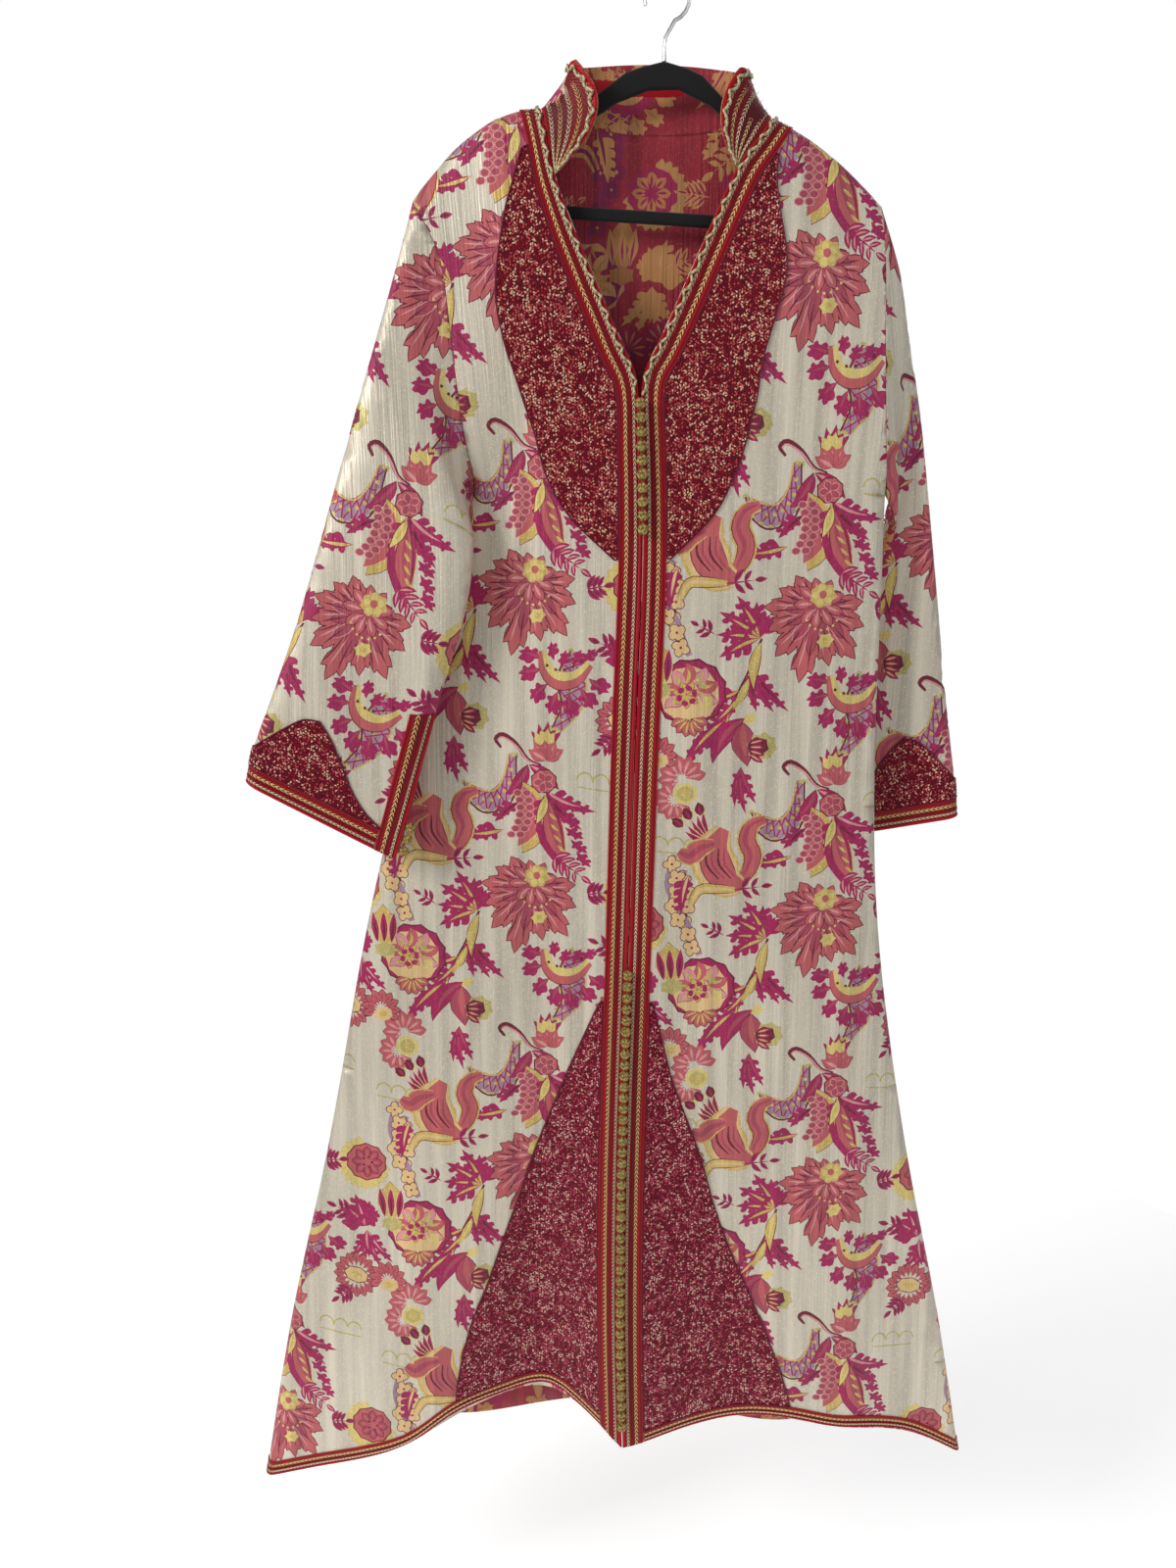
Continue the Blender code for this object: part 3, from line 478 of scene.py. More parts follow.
class Cloth:
    """A smooth piece of cloth with its flat pattern: either finds the other."""

    def __init__(self, name, source, toward, levels=2):
        self.name, self.source = name, source
        piece = outer_face(name, source, toward)
        self.coarse = [piece.data.vertices[i].co.copy() for i in border_of(piece.data)]
        rounded_off(piece, levels)
        self.flat = unwrapped(piece, toward)
        mesh = piece.data
        mesh.calc_loop_triangles()
        self.points = [vertex.co.copy() for vertex in mesh.vertices]
        self.normals = [vertex.normal.copy() for vertex in mesh.vertices]
        self.faces = [tuple(face.vertices) for face in mesh.loop_triangles]
        self.corners = [Vector((place.real, place.imag, 0)) for place in self.flat]
        self.border = border_of(mesh)
        self.on_table = BVHTree.FromPolygons(self.corners, self.faces)
        self.hanging = BVHTree.FromPolygons(self.points, self.faces)
        self.area = sum(face.area for face in mesh.polygons)
        reach = np.array([self.flat.real, self.flat.imag])
        self.size = tuple(reach.max(axis=1) - reach.min(axis=1))
        bpy.data.objects.remove(piece)

    def between(self, place, face, corners, values):
        a, b, c = self.faces[face]
        return barycentric_transform(
            place, corners[a], corners[b], corners[c], values[a], values[b], values[c]
        )

    def at(self, s, t, lift=0.0):
        """The hanging place of a point of the flat pattern, and the normal there."""
        place, _, face, _ = self.on_table.find_nearest(Vector((s, t, 0)))
        normal = self.between(place, face, self.corners, self.normals).normalized()
        return self.between(place, face, self.corners, self.points) + normal * lift, normal

    def under(self, point):
        """The nearest place on the hanging cloth, and the normal there."""
        place, _, face, _ = self.hanging.find_nearest(point)
        return place, self.between(place, face, self.points, self.normals).normalized()

    def flat_of(self, point):
        place, _, face, _ = self.hanging.find_nearest(point)
        flat = self.between(place, face, self.points, self.corners)
        return flat.x, flat.y


cloths = {
    name: Cloth(name, name, toward)
    for name, toward in {
        "front_right": FRONT,
        "front_left": FRONT,
        "back": BEHIND,
        "sleeve_right": FRONT,
        "sleeve_left": FRONT,
        "collar": BEHIND,
    }.items()
}
for cloth in cloths.values():
    width, length = cloth.size
    print(f"{cloth.name}: {width:.2f} by {length:.2f} m flat, {cloth.area:.3f} m2, {len(cloth.faces)} faces")

# %% [markdown]
# ## The flowers of the brocade
# The real cloth repeats one large chart of peonies, pods, lattice and clover about every 30 cm.
# Here the chart is drawn with a few shapes, such as a leaf, a ribbon and a ring of petals,
# each in a thread colour. The shapes overlap like cut paper; later the top one gives the colour.

# %% Threads: face colour, share of metal thread, colour on the reverse
THREADS = {
    "ground": ((220, 210, 192), 0.42, (168, 44, 62)),
    "magenta": ((170, 18, 88), 0.04, (206, 146, 90)),
    "wine": ((112, 16, 46), 0.04, (170, 38, 92)),
    "coral": ((198, 94, 98), 0.04, (168, 36, 84)),
    "rose": ((176, 70, 90), 0.04, (196, 128, 80)),
    "pink": ((224, 152, 152), 0.08, (214, 152, 104)),
    "gold": ((218, 186, 100), 0.50, (196, 136, 80)),
    "lemon": ((228, 206, 124), 0.35, (200, 146, 90)),
    "cream": ((232, 196, 138), 0.15, (140, 40, 80)),
    "lilac": ((170, 138, 158), 0.08, (150, 44, 90)),
    "lace": ((196, 182, 112), 0.40, (184, 120, 72)),
}


# %% [markdown]
# A weaver's designer draws a motif on squared paper before it is punched. The chart here holds
# closed outlines of one thread each, drawn with a few strokes: blades, leaves, ribbons and discs.

# %% Shapes to chart with, in millimetres and degrees
class Chart:
    """Shapes in the order they are laid, each a ring of places and a thread."""

    def __init__(self):
        self.shapes = []

    def lay(self, ring, thread):
        """Adds a shape, its ring turned to run anticlockwise as the triangulation needs."""
        ring = np.array(ring, complex)
        if (np.conj(ring) * np.roll(ring, -1)).imag.sum() < 0:
            ring = ring[::-1]
        self.shapes.append((ring, thread))

    def spine(self, place, angle, length, bend, steps):
        """Places along a line that bends evenly, with the heading at each."""
        here, made = complex(*place), []
        for i in range(steps + 1):
            heading = math.radians(angle + bend * (i / steps - 0.5))
            made.append((here, heading))
            here += length / steps * complex(math.cos(heading), math.sin(heading))
        return made

    def blade(self, place, angle, length, width, bend=0, thread="magenta", fullest=0.45, steps=7):
        """A leaf or petal: width follows a soft hump that is fullest part of the way along."""
        left, right = [], []
        power = math.log(0.5) / math.log(fullest)
        for i, (here, heading) in enumerate(self.spine(place, angle, length, bend, steps)):
            half = width / 2 * math.sin(math.pi * min(max((i / steps) ** power, 0.0), 1.0)) + 0.15
            side = 1j * complex(math.cos(heading), math.sin(heading)) * half
            left.append(here + side)
            right.append(here - side)
        self.lay(left + right[::-1], thread)

    def leaf(
        self, place, angle, length, width, bend=0, fill="magenta", edge="wine", vein=None,
        fullest=0.45
    ):
        """A leaf with a darker edge and, where named, a vein."""
        rim = 0.9
        back = complex(*place) - rim * complex(
            math.cos(math.radians(angle - bend / 2)), math.sin(math.radians(angle - bend / 2))
        )
        if edge:
            self.blade(
                (back.real, back.imag), angle, length + 2 * rim, width + 2 * rim, bend, edge,
                fullest
            )
        self.blade(place, angle, length, width, bend, fill, fullest)
        if vein:
            self.blade(place, angle, length * 0.8, width * 0.3, bend, vein, fullest, 4)

    def acanthus(
        self, place, angle, length, width, bend=0, fill="magenta", vein="gold", side=1, lobes=4
    ):
        """A plume: a curling blade with short lobes along its outer side."""
        spine = self.spine(place, angle, length, bend, lobes + 1)
        for i, (here, heading) in enumerate(spine[1:-1]):
            grown = width * (1.15 - 0.16 * i)
            for way, share in ((side, 1.0), (-side, 0.55)):
                foot = here - 0.18 * length / lobes * complex(math.cos(heading), math.sin(heading))
                self.blade(
                    (foot.real, foot.imag), math.degrees(heading) + way * 34, grown * share,
                    grown * 0.5, -way * 46, fill, 0.66, 5
                )
        self.blade(place, angle, length, width * 0.66, bend, fill, 0.5)
        if vein:
            self.blade(place, angle, length * 0.72, width * 0.2, bend, vein, 0.4, 4)

    def ribbon(self, path, width, thread, tips=0.3):
        """A stem through places, thinner at its ends."""
        path = [complex(*place) for place in path]
        fine = []
        for i in range(len(path) - 1):
            a, b = path[i], path[i + 1]
            before = path[i - 1] if i else 2 * a - b
            after = path[i + 2] if i + 2 < len(path) else 2 * b - a
            for t in (0, 0.33, 0.67):
                curve = (2 * before - 5 * a + 4 * b - after) + t * (3 * (a - b) + after - before)
                fine.append(a + 0.5 * t * ((b - before) + t * curve))
        fine.append(path[-1])
        left, right = [], []
        for i, here in enumerate(fine):
            step = fine[min(i + 1, len(fine) - 1)] - fine[max(i - 1, 0)]
            share = math.sin(math.pi * (i + 0.5) / len(fine))
            half = width / 2 * (tips + (1 - tips) * share)
            side = 1j * step / abs(step) * half
            left.append(here + side)
            right.append(here - side)
        self.lay(left + right[::-1], thread)

    def disc(self, place, radius, thread, squash=1.0, turn=0.0, sides=12, scallop=0.0):
        """A round or oval, its edge waved where scallop is given."""
        ring = []
        for i in range(sides):
            angle = 2 * math.pi * i / sides
            out = radius * (1 + (scallop if i % 2 else -scallop))
            ring.append(
                complex(*place)
                + out * complex(math.cos(angle), squash * math.sin(angle)) * np.exp(1j * math.radians(turn))
            )
        self.lay(ring, thread)

    def fan(self, place, angles, lengths, width, fill="magenta", edge="wine", vein=None, bend=0):
        """Leaves that spread from one place."""
        for i, angle in enumerate(angles):
            length = lengths[i % len(lengths)]
            curl = bend * (1 if i < len(angles) / 2 else -1)
            self.leaf(place, angle, length, width, curl, fill, edge, vein)

    def sprig(
        self, place, angle, length, leaves, size, fill="magenta", edge=None, vein="wine", bend=0
    ):
        """A stem with leaves on both sides and one at its tip."""
        stem = self.spine(place, angle, length, bend, leaves + 1)
        self.ribbon([(here.real, here.imag) for here, _ in stem], 1.8, edge or fill)
        for i, (here, heading) in enumerate(stem[1:-1]):
            way = math.degrees(heading)
            grown = size * (1 - 0.35 * i / leaves)
            for side in (-1, 1):
                self.leaf(
                    (here.real, here.imag), way + side * 48, grown, grown * 0.36, -side * 30, fill,
                    edge, vein
                )
        tip, heading = stem[-1]
        self.leaf(
            (tip.real, tip.imag), math.degrees(heading), size * 0.8, size * 0.34, 0, fill, edge,
            vein
        )

    def petals(
        self, place, count, inner, length, width, fill, edge, start=0, spread=360, vein=None
    ):
        """Petals set round a centre, each starting inner away from it."""
        for i in range(count):
            angle = start + spread * i / (count if spread == 360 else count - 1)
            foot = complex(*place) + inner * np.exp(1j * math.radians(angle))
            self.leaf((foot.real, foot.imag), angle, length, width, 0, fill, edge, vein, 0.6)


# %% [markdown]
# One repeat holds a ragged peony among plumes, fans and small sprigs. They are charted
# in the manner of the cloth, and a later stroke lies on an earlier one.

# %% The chart of one repeat, measured from the heart of its peony
REPEAT_WIDE, REPEAT_HIGH = 0.302, 0.323


def peony(chart, x, y):
    """Ragged petals: each a broad blade with three lobes at its tip and fine dark veins."""
    outer = [
        (4, 47, 21), (336, 52, 22), (306, 66, 22), (282, 60, 20), (256, 76, 23), (228, 62, 23),
        (202, 52, 21), (176, 52, 21), (150, 42, 17), (122, 38, 18), (30, 28, 16),
    ]
    for rim, thread in ((1.1, "wine"), (0.0, "coral")):
        for angle, length, width in outer:
            tip = complex(x, y) + 0.52 * length * np.exp(1j * math.radians(angle))
            for lean in (-24, 0, 24):
                reach = length * (0.50 if lean == 0 else 0.38)
                chart.blade(
                    (tip.real, tip.imag), angle + lean, reach + rim, width * 0.52 + 2 * rim,
                    lean * 0.8, thread, 0.5
                )
            chart.blade(
                (x, y), angle, length * 0.86, width + 2 * rim, 8 if angle < 180 else -8, thread, 0.6
            )
    for i, (angle, length, width) in enumerate(outer):
        chart.leaf(
            (x, y), angle + 5, length * 0.66, width * 0.5, 0, "rose", "pink" if i % 2 else "wine",
            None, 0.6
        )
        for lean in (-11, -4, 6):
            foot = complex(x, y) + 0.34 * length * np.exp(1j * math.radians(angle + lean))
            chart.blade(
                (foot.real, foot.imag), angle + lean, length * 0.5, 1.5, lean,
                "wine" if lean + 4 else "pink", 0.6, 4
            )
    for angle in (20, 62, 100, 140, 182, 228, 262, 300, 338):
        foot = complex(x + 3, y + 4) + 6 * np.exp(1j * math.radians(angle))
        chart.leaf((foot.real, foot.imag), angle, 20, 9, 16, "coral", "wine", "pink", 0.6)
    chart.disc((x + 7, y + 12), 13, "gold", 0.9, 20, 14, 0.11)
    chart.petals((x + 7, y + 12), 5, 2, 9, 7, "lemon", "gold", 30)
    chart.disc((x + 7, y + 13), 4, "coral", 1, 0, 8)
    chart.disc((x + 9, y - 34), 8.5, "lemon", 0.8, 30, 12, 0.14)
    chart.disc((x + 9, y - 34), 3.5, "gold", 1, 0, 6)
    for i in range(7):
        angle = math.radians(200 + 22 * i)
        chart.disc(
            (x + 6 + 17 * math.cos(angle), y - 6 + 17 * math.sin(angle)), 1.5, "lemon", 1, 0, 5
        )


def leaf_fan(chart, x, y):
    """The magenta fan left of the peony, with the plume that grows down from its foot."""
    chart.ribbon(
        [(x + 2, y), (x - 12, y - 36), (x - 28, y - 66), (x - 46, y - 94), (x - 72, y - 118)], 6.4,
        "wine"
    )
    chart.ribbon(
        [(x + 1, y - 6), (x - 12, y - 38), (x - 28, y - 68), (x - 46, y - 94), (x - 60, y - 108)],
        3, "gold"
    )
    for angle, length, side in (
        (64, 26, -1), (92, 38, -1), (118, 50, 1), (146, 50, 1), (174, 44, 1), (204, 46, 1)
    ):
        chart.acanthus(
            (x, y), angle, length, 15, 20 * side, "magenta", "gold" if length > 40 else None, side,
            3
        )
    for angle, length in ((296, 52), (310, 60), (276, 46)):
        chart.acanthus((x - 8, y - 30), angle, length, 12, 26, "magenta", "wine", 1, 4)
    chart.leaf((x + 1, y - 4), 262, 48, 10, 30, "gold", "wine", "lemon")
    for place, angle, length in (
        ((-26, -62), 222, 38), ((-34, -76), 250, 34), ((-22, -52), 196, 32), ((-46, -94), 206, 30)
    ):
        chart.acanthus(
            (x + place[0], y + place[1]), angle, length, 12, -26, "magenta", "gold", -1, 3
        )
    chart.acanthus((x - 40, y - 84), 226, 58, 16, 18, "magenta", "gold", 1, 4)
    chart.leaf((x - 12, y - 40), 240, 36, 8, -20, "gold", "wine", "lemon")
    chart.sprig((x - 44, y + 6), 150, 20, 2, 13, edge=None)


def pomegranate(chart, x, y):
    """The round flower: a scalloped magenta hood over curled pink and gold petals."""
    chart.disc((x, y), 37, "wine", 0.94, 0, 24, 0.035)
    chart.disc((x, y), 35, "magenta", 0.94, 0, 24, 0.035)
    chart.disc((x - 1, y - 2), 30.5, "cream", 0.95, 0, 22, 0.03)
    for i in range(7):
        angle = 20 + 38 * i
        foot = (x + 11 * math.cos(math.radians(angle)), y + 11 * math.sin(math.radians(angle)))
        chart.leaf(foot, angle - 50, 25, 12, 90, "coral" if i % 2 else "pink", "rose", "gold", 0.5)
    chart.petals((x - 2, y - 26), 6, 3, 17, 9, "coral", "wine", 200, 140, "gold")
    chart.petals((x - 4, y - 2), 7, 1, 13, 6, "gold", "rose", 10, 360)
    for i in range(6):
        angle = math.radians(60 * i + 15)
        chart.disc(
            (x - 4 + 8 * math.cos(angle), y - 3 + 8 * math.sin(angle)), 3.0, "magenta", 1.3, 60 * i,
            7
        )
    chart.disc((x + 17, y - 10), 6, "lemon", 1, 0, 8, 0.2)
    chart.disc((x + 12, y + 8), 4.5, "lace", 1, 0, 8, 0.2)


def hanging_bud(chart, x, y):
    """A tulip bud that hangs on its side, with a ruffle crown and a tail of leaves."""
    for angle, length in ((262, 44), (276, 52), (292, 44)):
        chart.acanthus((x - 6, y - 22), angle, length, 10, 28, "magenta", "rose", 1, 3)
    chart.leaf((x + 2, y + 28), 235, 62, 17, 66, "magenta", "wine", "rose")
    chart.leaf((x - 3, y + 24), 275, 46, 24, 14, "rose", "wine", "coral")
    chart.disc((x + 16, y - 2), 15, "lace", 0.95, 10, 16, 0.1)
    chart.disc((x + 12, y - 2), 11, "wine", 0.9, 10, 12, 0.08)
    for i in range(4):
        chart.leaf((x + 4, y + 2 - 4 * i), 12 - 16 * i, 15, 5, 0, "magenta", "wine", "gold")
    chart.disc((x + 4, y + 28), 7, "lemon", 0.8, 30, 10, 0.2)


def lattice(chart, outer, inner, fill="lilac"):
    """A crescent between two curves, filled with a diamond lattice and edged with scallops."""
    outer, inner = [[complex(*p) for p in line] for line in (outer, inner)]
    count = 9

    def along(line, t):
        place = t * (len(line) - 1)
        i = min(int(place), len(line) - 2)
        return line[i] + (line[i + 1] - line[i]) * (place - i)

    chart.lay(
        [along(outer, i / count) for i in range(count + 1)]
        + [along(inner, 1 - i / count) for i in range(count + 1)],
        fill,
    )
    for i in range(count + 1):
        for tilt in (-1, 1):
            j = i + tilt * 2
            if 0 <= j <= count:
                a, b = along(outer, i / count), along(inner, j / count)
                chart.ribbon(
                    [(a.real, a.imag), ((a + b).real / 2, (a + b).imag / 2), (b.real, b.imag)], 1.5,
                    "magenta", 1
                )
        centre = (along(outer, i / count) + along(inner, i / count)) / 2
        chart.disc((centre.real, centre.imag), 2.3, "gold", 1, 0, 6)
        rim = along(outer, i / count)
        chart.disc((rim.real, rim.imag), 3.2, "lace", 1, 0, 8)
    for line, thread in ((outer, "wine"), (inner, "gold")):
        chart.ribbon([(p.real, p.imag) for p in line], 2.0, thread, 0.8)


def hooked_pod(chart, x, y):
    """A hooked stem, the lattice crescent under it, and a scaled pod below."""
    lattice(
        chart,
        [
            (x - 36, y - 46), (x - 32, y - 64), (x - 16, y - 78), (x + 4, y - 74), (x + 18, y - 58),
            (x + 20, y - 16)
        ],
        [
            (x - 24, y - 50), (x - 16, y - 54), (x - 4, y - 54), (x + 4, y - 44), (x + 9, y - 30),
            (x + 12, y - 14)
        ],
    )
    chart.ribbon(
        [(x + 4, y - 8), (x - 2, y + 1), (x + 6, y + 6), (x + 20, y - 4), (x + 32, y - 20), (x + 46, y - 26)],
        5, "wine", 0.5,
    )
    chart.ribbon(
        [(x, y), (x + 6, y + 3), (x + 20, y - 6), (x + 32, y - 21), (x + 44, y - 26)], 2.2, "pink",
        0.5
    )
    chart.leaf((x + 32, y - 26), 232, 40, 13, -40, "magenta", "wine", "rose")
    chart.leaf((x + 34, y - 26), 318, 40, 12, -30, "magenta", "wine", "pink")
    chart.leaf((x + 27, y - 44), 264, 82, 34, -70, "gold", "wine", None, 0.5)
    chart.leaf((x + 27, y - 48), 260, 70, 26, -66, "coral", "cream", None, 0.5)
    for here, _ in chart.spine((x + 26, y - 56), 256, 48, -60, 6):
        for side in (-5, 5):
            chart.disc((here.real + side, here.imag), 5.2, "pink", 0.8, 0, 7)
            chart.disc((here.real + side, here.imag), 4.1, "rose", 0.8, 0, 7)
    chart.acanthus((x + 6, y - 96), 186, 50, 15, -24, "magenta", "gold", -1, 4)
    chart.acanthus((x + 22, y - 66), 222, 34, 12, 20, "magenta", "wine", -1, 3)


def lotus(chart, x, y):
    chart.fan((x, y), [62, 82, 104, 128, 46], [24, 28, 26, 22], 7, "magenta", "wine")
    chart.fan((x, y), [58, 80, 100, 122], [19, 21, 19], 9, "lemon", "gold")
    chart.fan(
        (x + 1, y - 12), [30, 60, 92, 124, 150], [21, 22, 20, 22, 20], 12, "coral", "rose", "pink"
    )


def ball_and_sprays(chart, x, y):
    """A coral ball bud with long leaves streaming down from it."""
    chart.leaf((x + 2, y - 12), 286, 90, 28, 30, "magenta", "gold", None)
    chart.acanthus((x + 2, y - 12), 316, 56, 15, 28, "magenta", "wine", 1, 4)
    chart.acanthus((x + 2, y - 10), 340, 58, 14, 34, "magenta", "pink", 1, 4)
    chart.acanthus((x + 2, y - 12), 266, 50, 12, 20, "magenta", "gold", -1, 4)
    chart.leaf((x + 5, y - 22), 287, 68, 16, 30, "coral", "wine", "rose")
    for i in range(4):
        here = chart.spine((x + 5, y - 22), 287, 60, 30, 5)[i + 1][0]
        chart.blade((here.real, here.imag), 320, 12, 3, 20, "gold", 0.5, 4)
    chart.leaf((x + 2, y - 16), 250, 32, 9, -20, "lemon", "wine", "gold")
    for i in range(4):
        chart.acanthus(
            (x + 16 + 6 * i, y - 36 - 13 * i), 338 - 8 * i, 24, 9, 24, "magenta", None, 1, 2
        )
    chart.disc((x, y), 14, "wine", 0.95, 0, 16, 0.05)
    chart.disc((x, y), 12.6, "coral", 0.95, 0, 16, 0.05)
    chart.petals((x, y - 1), 5, 1, 10, 6, "rose", "pink", 40)


def flame(chart, x, y):
    """The big flame tulip: a swan-necked coral body outlined in cream and gold."""
    for i, angle in enumerate((96, 108, 120, 132, 144)):
        chart.leaf((x - 12, y + 12), angle, 38 - 2 * i, 5.6, -14, "magenta", "cream", "wine")
    for angle in (100, 120, 140):
        foot = complex(x - 14, y + 14) + 32 * np.exp(1j * math.radians(angle))
        chart.leaf((foot.real, foot.imag), angle, 15, 10, 0, "wine", "lemon", "magenta")
    neck = [
        (x + 6, y - 34), (x + 26, y - 22), (x + 34, y - 2), (x + 28, y + 16), (x + 34, y + 32),
        (x + 48, y + 38)
    ]
    chart.ribbon(neck, 23, "gold", 0.35)
    chart.ribbon(neck, 19, "wine", 0.35)
    chart.ribbon(neck, 17, "coral", 0.35)
    chart.ribbon([(px - 2, py) for px, py in neck[1:]], 5, "rose", 0.3)
    body = [(x + 4, y + 30), (x - 6, y + 10), (x - 6, y - 10), (x + 6, y - 28), (x + 22, y - 34)]
    chart.ribbon(body, 50, "gold", 0.25)
    chart.ribbon(body, 43, "cream", 0.25)
    chart.ribbon([(px + 1, py) for px, py in body], 34, "wine", 0.2)
    chart.ribbon([(px + 1, py) for px, py in body], 32, "coral", 0.2)
    for shift, thread in ((-9, "wine"), (-3, "rose"), (4, "wine"), (10, "rose")):
        chart.ribbon([(px + shift, py * 0.9 + y * 0.1) for px, py in body[1:4]], 2.6, thread, 0.3)
    lobe = [(x - 6, y + 14), (x - 22, y + 10), (x - 34, y + 2), (x - 44, y + 8)]
    chart.ribbon(lobe, 24, "gold", 0.3)
    chart.ribbon(lobe, 20, "coral", 0.3)
    chart.ribbon(lobe, 7, "rose", 0.3)
    tail = [(x + 14, y - 38), (x - 6, y - 36), (x - 24, y - 36), (x - 34, y - 52)]
    chart.ribbon(tail, 12, "wine", 0.5)
    chart.ribbon(tail, 10, "gold", 0.5)
    chart.ribbon(tail, 4, "cream", 0.5)
    chart.acanthus((x - 34, y - 18), 258, 46, 14, 24, "magenta", "cream", -1, 4)


def curved_spray(chart, x, y):
    """A curl of gold and pink with magenta teeth."""
    teeth = (
        ((-14, 16), 164), ((-14, 4), 190), ((-8, -10), 222), ((2, -18), 250), ((14, -20), 276),
        ((26, -14), 302), ((34, -4), 326)
    )
    for place, angle in teeth:
        chart.acanthus((x + place[0], y + place[1]), angle, 26, 13, 16, "magenta", "rose", 1, 2)
    for place, angle in (((6, 6), 74), ((18, 8), 62), ((28, 12), 46), ((-2, 14), 96)):
        chart.acanthus((x + place[0], y + place[1]), angle, 20, 9, -14, "magenta", None, -1, 2)
    chart.ribbon(
        [(x - 14, y + 24), (x - 10, y + 4), (x + 2, y - 8), (x + 20, y - 6), (x + 36, y + 10)], 17,
        "wine", 0.4
    )
    chart.ribbon(
        [(x - 14, y + 24), (x - 10, y + 4), (x + 2, y - 8), (x + 20, y - 6), (x + 36, y + 10)], 15,
        "coral", 0.4
    )
    chart.ribbon(
        [(x - 12, y + 24), (x - 7, y + 7), (x + 4, y - 2), (x + 20, y), (x + 34, y + 12)], 9,
        "lemon", 0.4
    )
    for i in range(5):
        chart.disc((x - 9 + 9 * i, y + 12 - 8 * math.sin(0.75 * i + 0.4)), 1.8, "wine", 1, 0, 6)


def clover_string(chart, x, y, count=6):
    """Cream clover on a lilac ribbon, outlined in magenta."""
    chart.ribbon(
        [(x + 4, y + 10), (x - 5, y - 20), (x + 2, y - 44), (x + 16, y - 16 * count + 10)], 8,
        "lilac", 0.7
    )
    for i in range(count):
        centre = (x + 5 * math.sin(1.1 * i) + 2.2 * i * (i > 3), y - 15.5 * i)
        for edge, size in (("wine", 5.6), ("cream", 4.6)):
            for angle in (0, 90, 180, 270):
                turn = math.radians(angle + 30 * i)
                chart.disc(
                    (centre[0] + 5 * math.cos(turn), centre[1] + 5 * math.sin(turn)), size, edge,
                    0.85, angle, 8
                )
        chart.disc(centre, 1.6, "magenta", 1, 0, 6)


def daisies(chart, x, y):
    chart.petals((x + 4, y + 8), 8, 5, 20, 10, "coral", "rose", 10, 200, "pink")
    chart.petals((x - 4, y - 14), 7, 5, 17, 10, "coral", "rose", 120, 190, "pink")
    chart.disc((x + 7, y - 8), 13, "lemon", 0.9, 0, 14, 0.09)
    chart.disc((x + 7, y - 8), 9, "lace", 0.9, 0, 12, 0.05)
    chart.disc((x + 7, y - 8), 5, "gold", 1, 0, 8)


def fringed(chart, x, y):
    """A coral disc with a fringe of pale gold petals."""
    chart.petals((x, y), 17, 15, 16, 8, "lemon", "gold", 100, 250)
    chart.disc((x + 3, y + 2), 24, "wine", 0.92, 0, 20, 0.04)
    chart.disc((x + 3, y + 2), 22.6, "coral", 0.92, 0, 20, 0.04)
    chart.petals((x + 4, y + 2), 8, 4, 14, 8, "rose", "wine", 0, 360, "coral")
    for i in range(5):
        chart.disc(
            (x + 4 + 6 * math.cos(1.26 * i), y + 2 + 6 * math.sin(1.26 * i)), 1.6, "wine", 1, 0, 6
        )


def daisy_pair(chart, x, y):
    chart.petals((x, y), 16, 12, 15, 7.5, "coral", "wine", 0, 360, "rose")
    chart.disc((x, y), 15, "wine", 0.66, -12, 14, 0.03)
    chart.disc((x, y), 13.8, "cream", 0.64, -12, 14, 0.05)
    chart.disc((x, y), 7, "gold", 0.5, -12, 10, 0.08)
    chart.petals((x + 38, y - 2), 9, 5, 17, 8, "coral", "wine", -30, 230, "rose")
    chart.disc((x + 40, y - 8), 11, "cream", 0.7, 10, 12, 0.08)
    chart.disc((x + 40, y - 8), 5, "gold", 0.7, 10, 8)


def maple(chart, x, y):
    """Broad cut leaves over a plume, in plain magenta."""
    for angle, length in ((80, 32), (108, 40), (136, 36), (162, 28), (54, 26)):
        chart.acanthus(
            (x, y), angle, length, 15, 8, "magenta", "pink" if length > 35 else None, 1, 3
        )
    for angle, length in ((240, 44), (258, 40), (292, 46), (312, 48), (276, 34)):
        chart.acanthus(
            (x + 2, y - 4), angle, length, 11, 24 if angle > 270 else -24, "magenta", "pink",
            1 if angle > 270 else -1, 4
        )
    chart.sprig((x - 14, y + 12), 158, 22, 2, 17, edge=None)


def bell_bud(chart, x, y):
    chart.leaf((x, y - 20), 92, 46, 30, 0, "gold", "wine", None, 0.5)
    for side in (-8, 0, 8):
        chart.leaf((x + side, y - 16), 92 - side, 34, 8, 0, "magenta", "cream", "wine", 0.5)
    chart.disc((x, y - 24), 12, "lace", 0.7, 0, 12, 0.12)


def gold_scallops(chart, x, y):
    for i in range(3):
        loop = [
            (x + 17 * i - 8 + 8.5 * math.cos(a), y + 9 * math.sin(a) - 2 * i)
            for a in (3.1, 2.4, 1.57, 0.75, 0.05)
        ]
        chart.ribbon(loop, 1.9, "lace", 0.9)
    chart.ribbon([(x - 16, y - 6), (x + 8, y - 10), (x + 34, y - 12)], 1.6, "lace", 0.9)


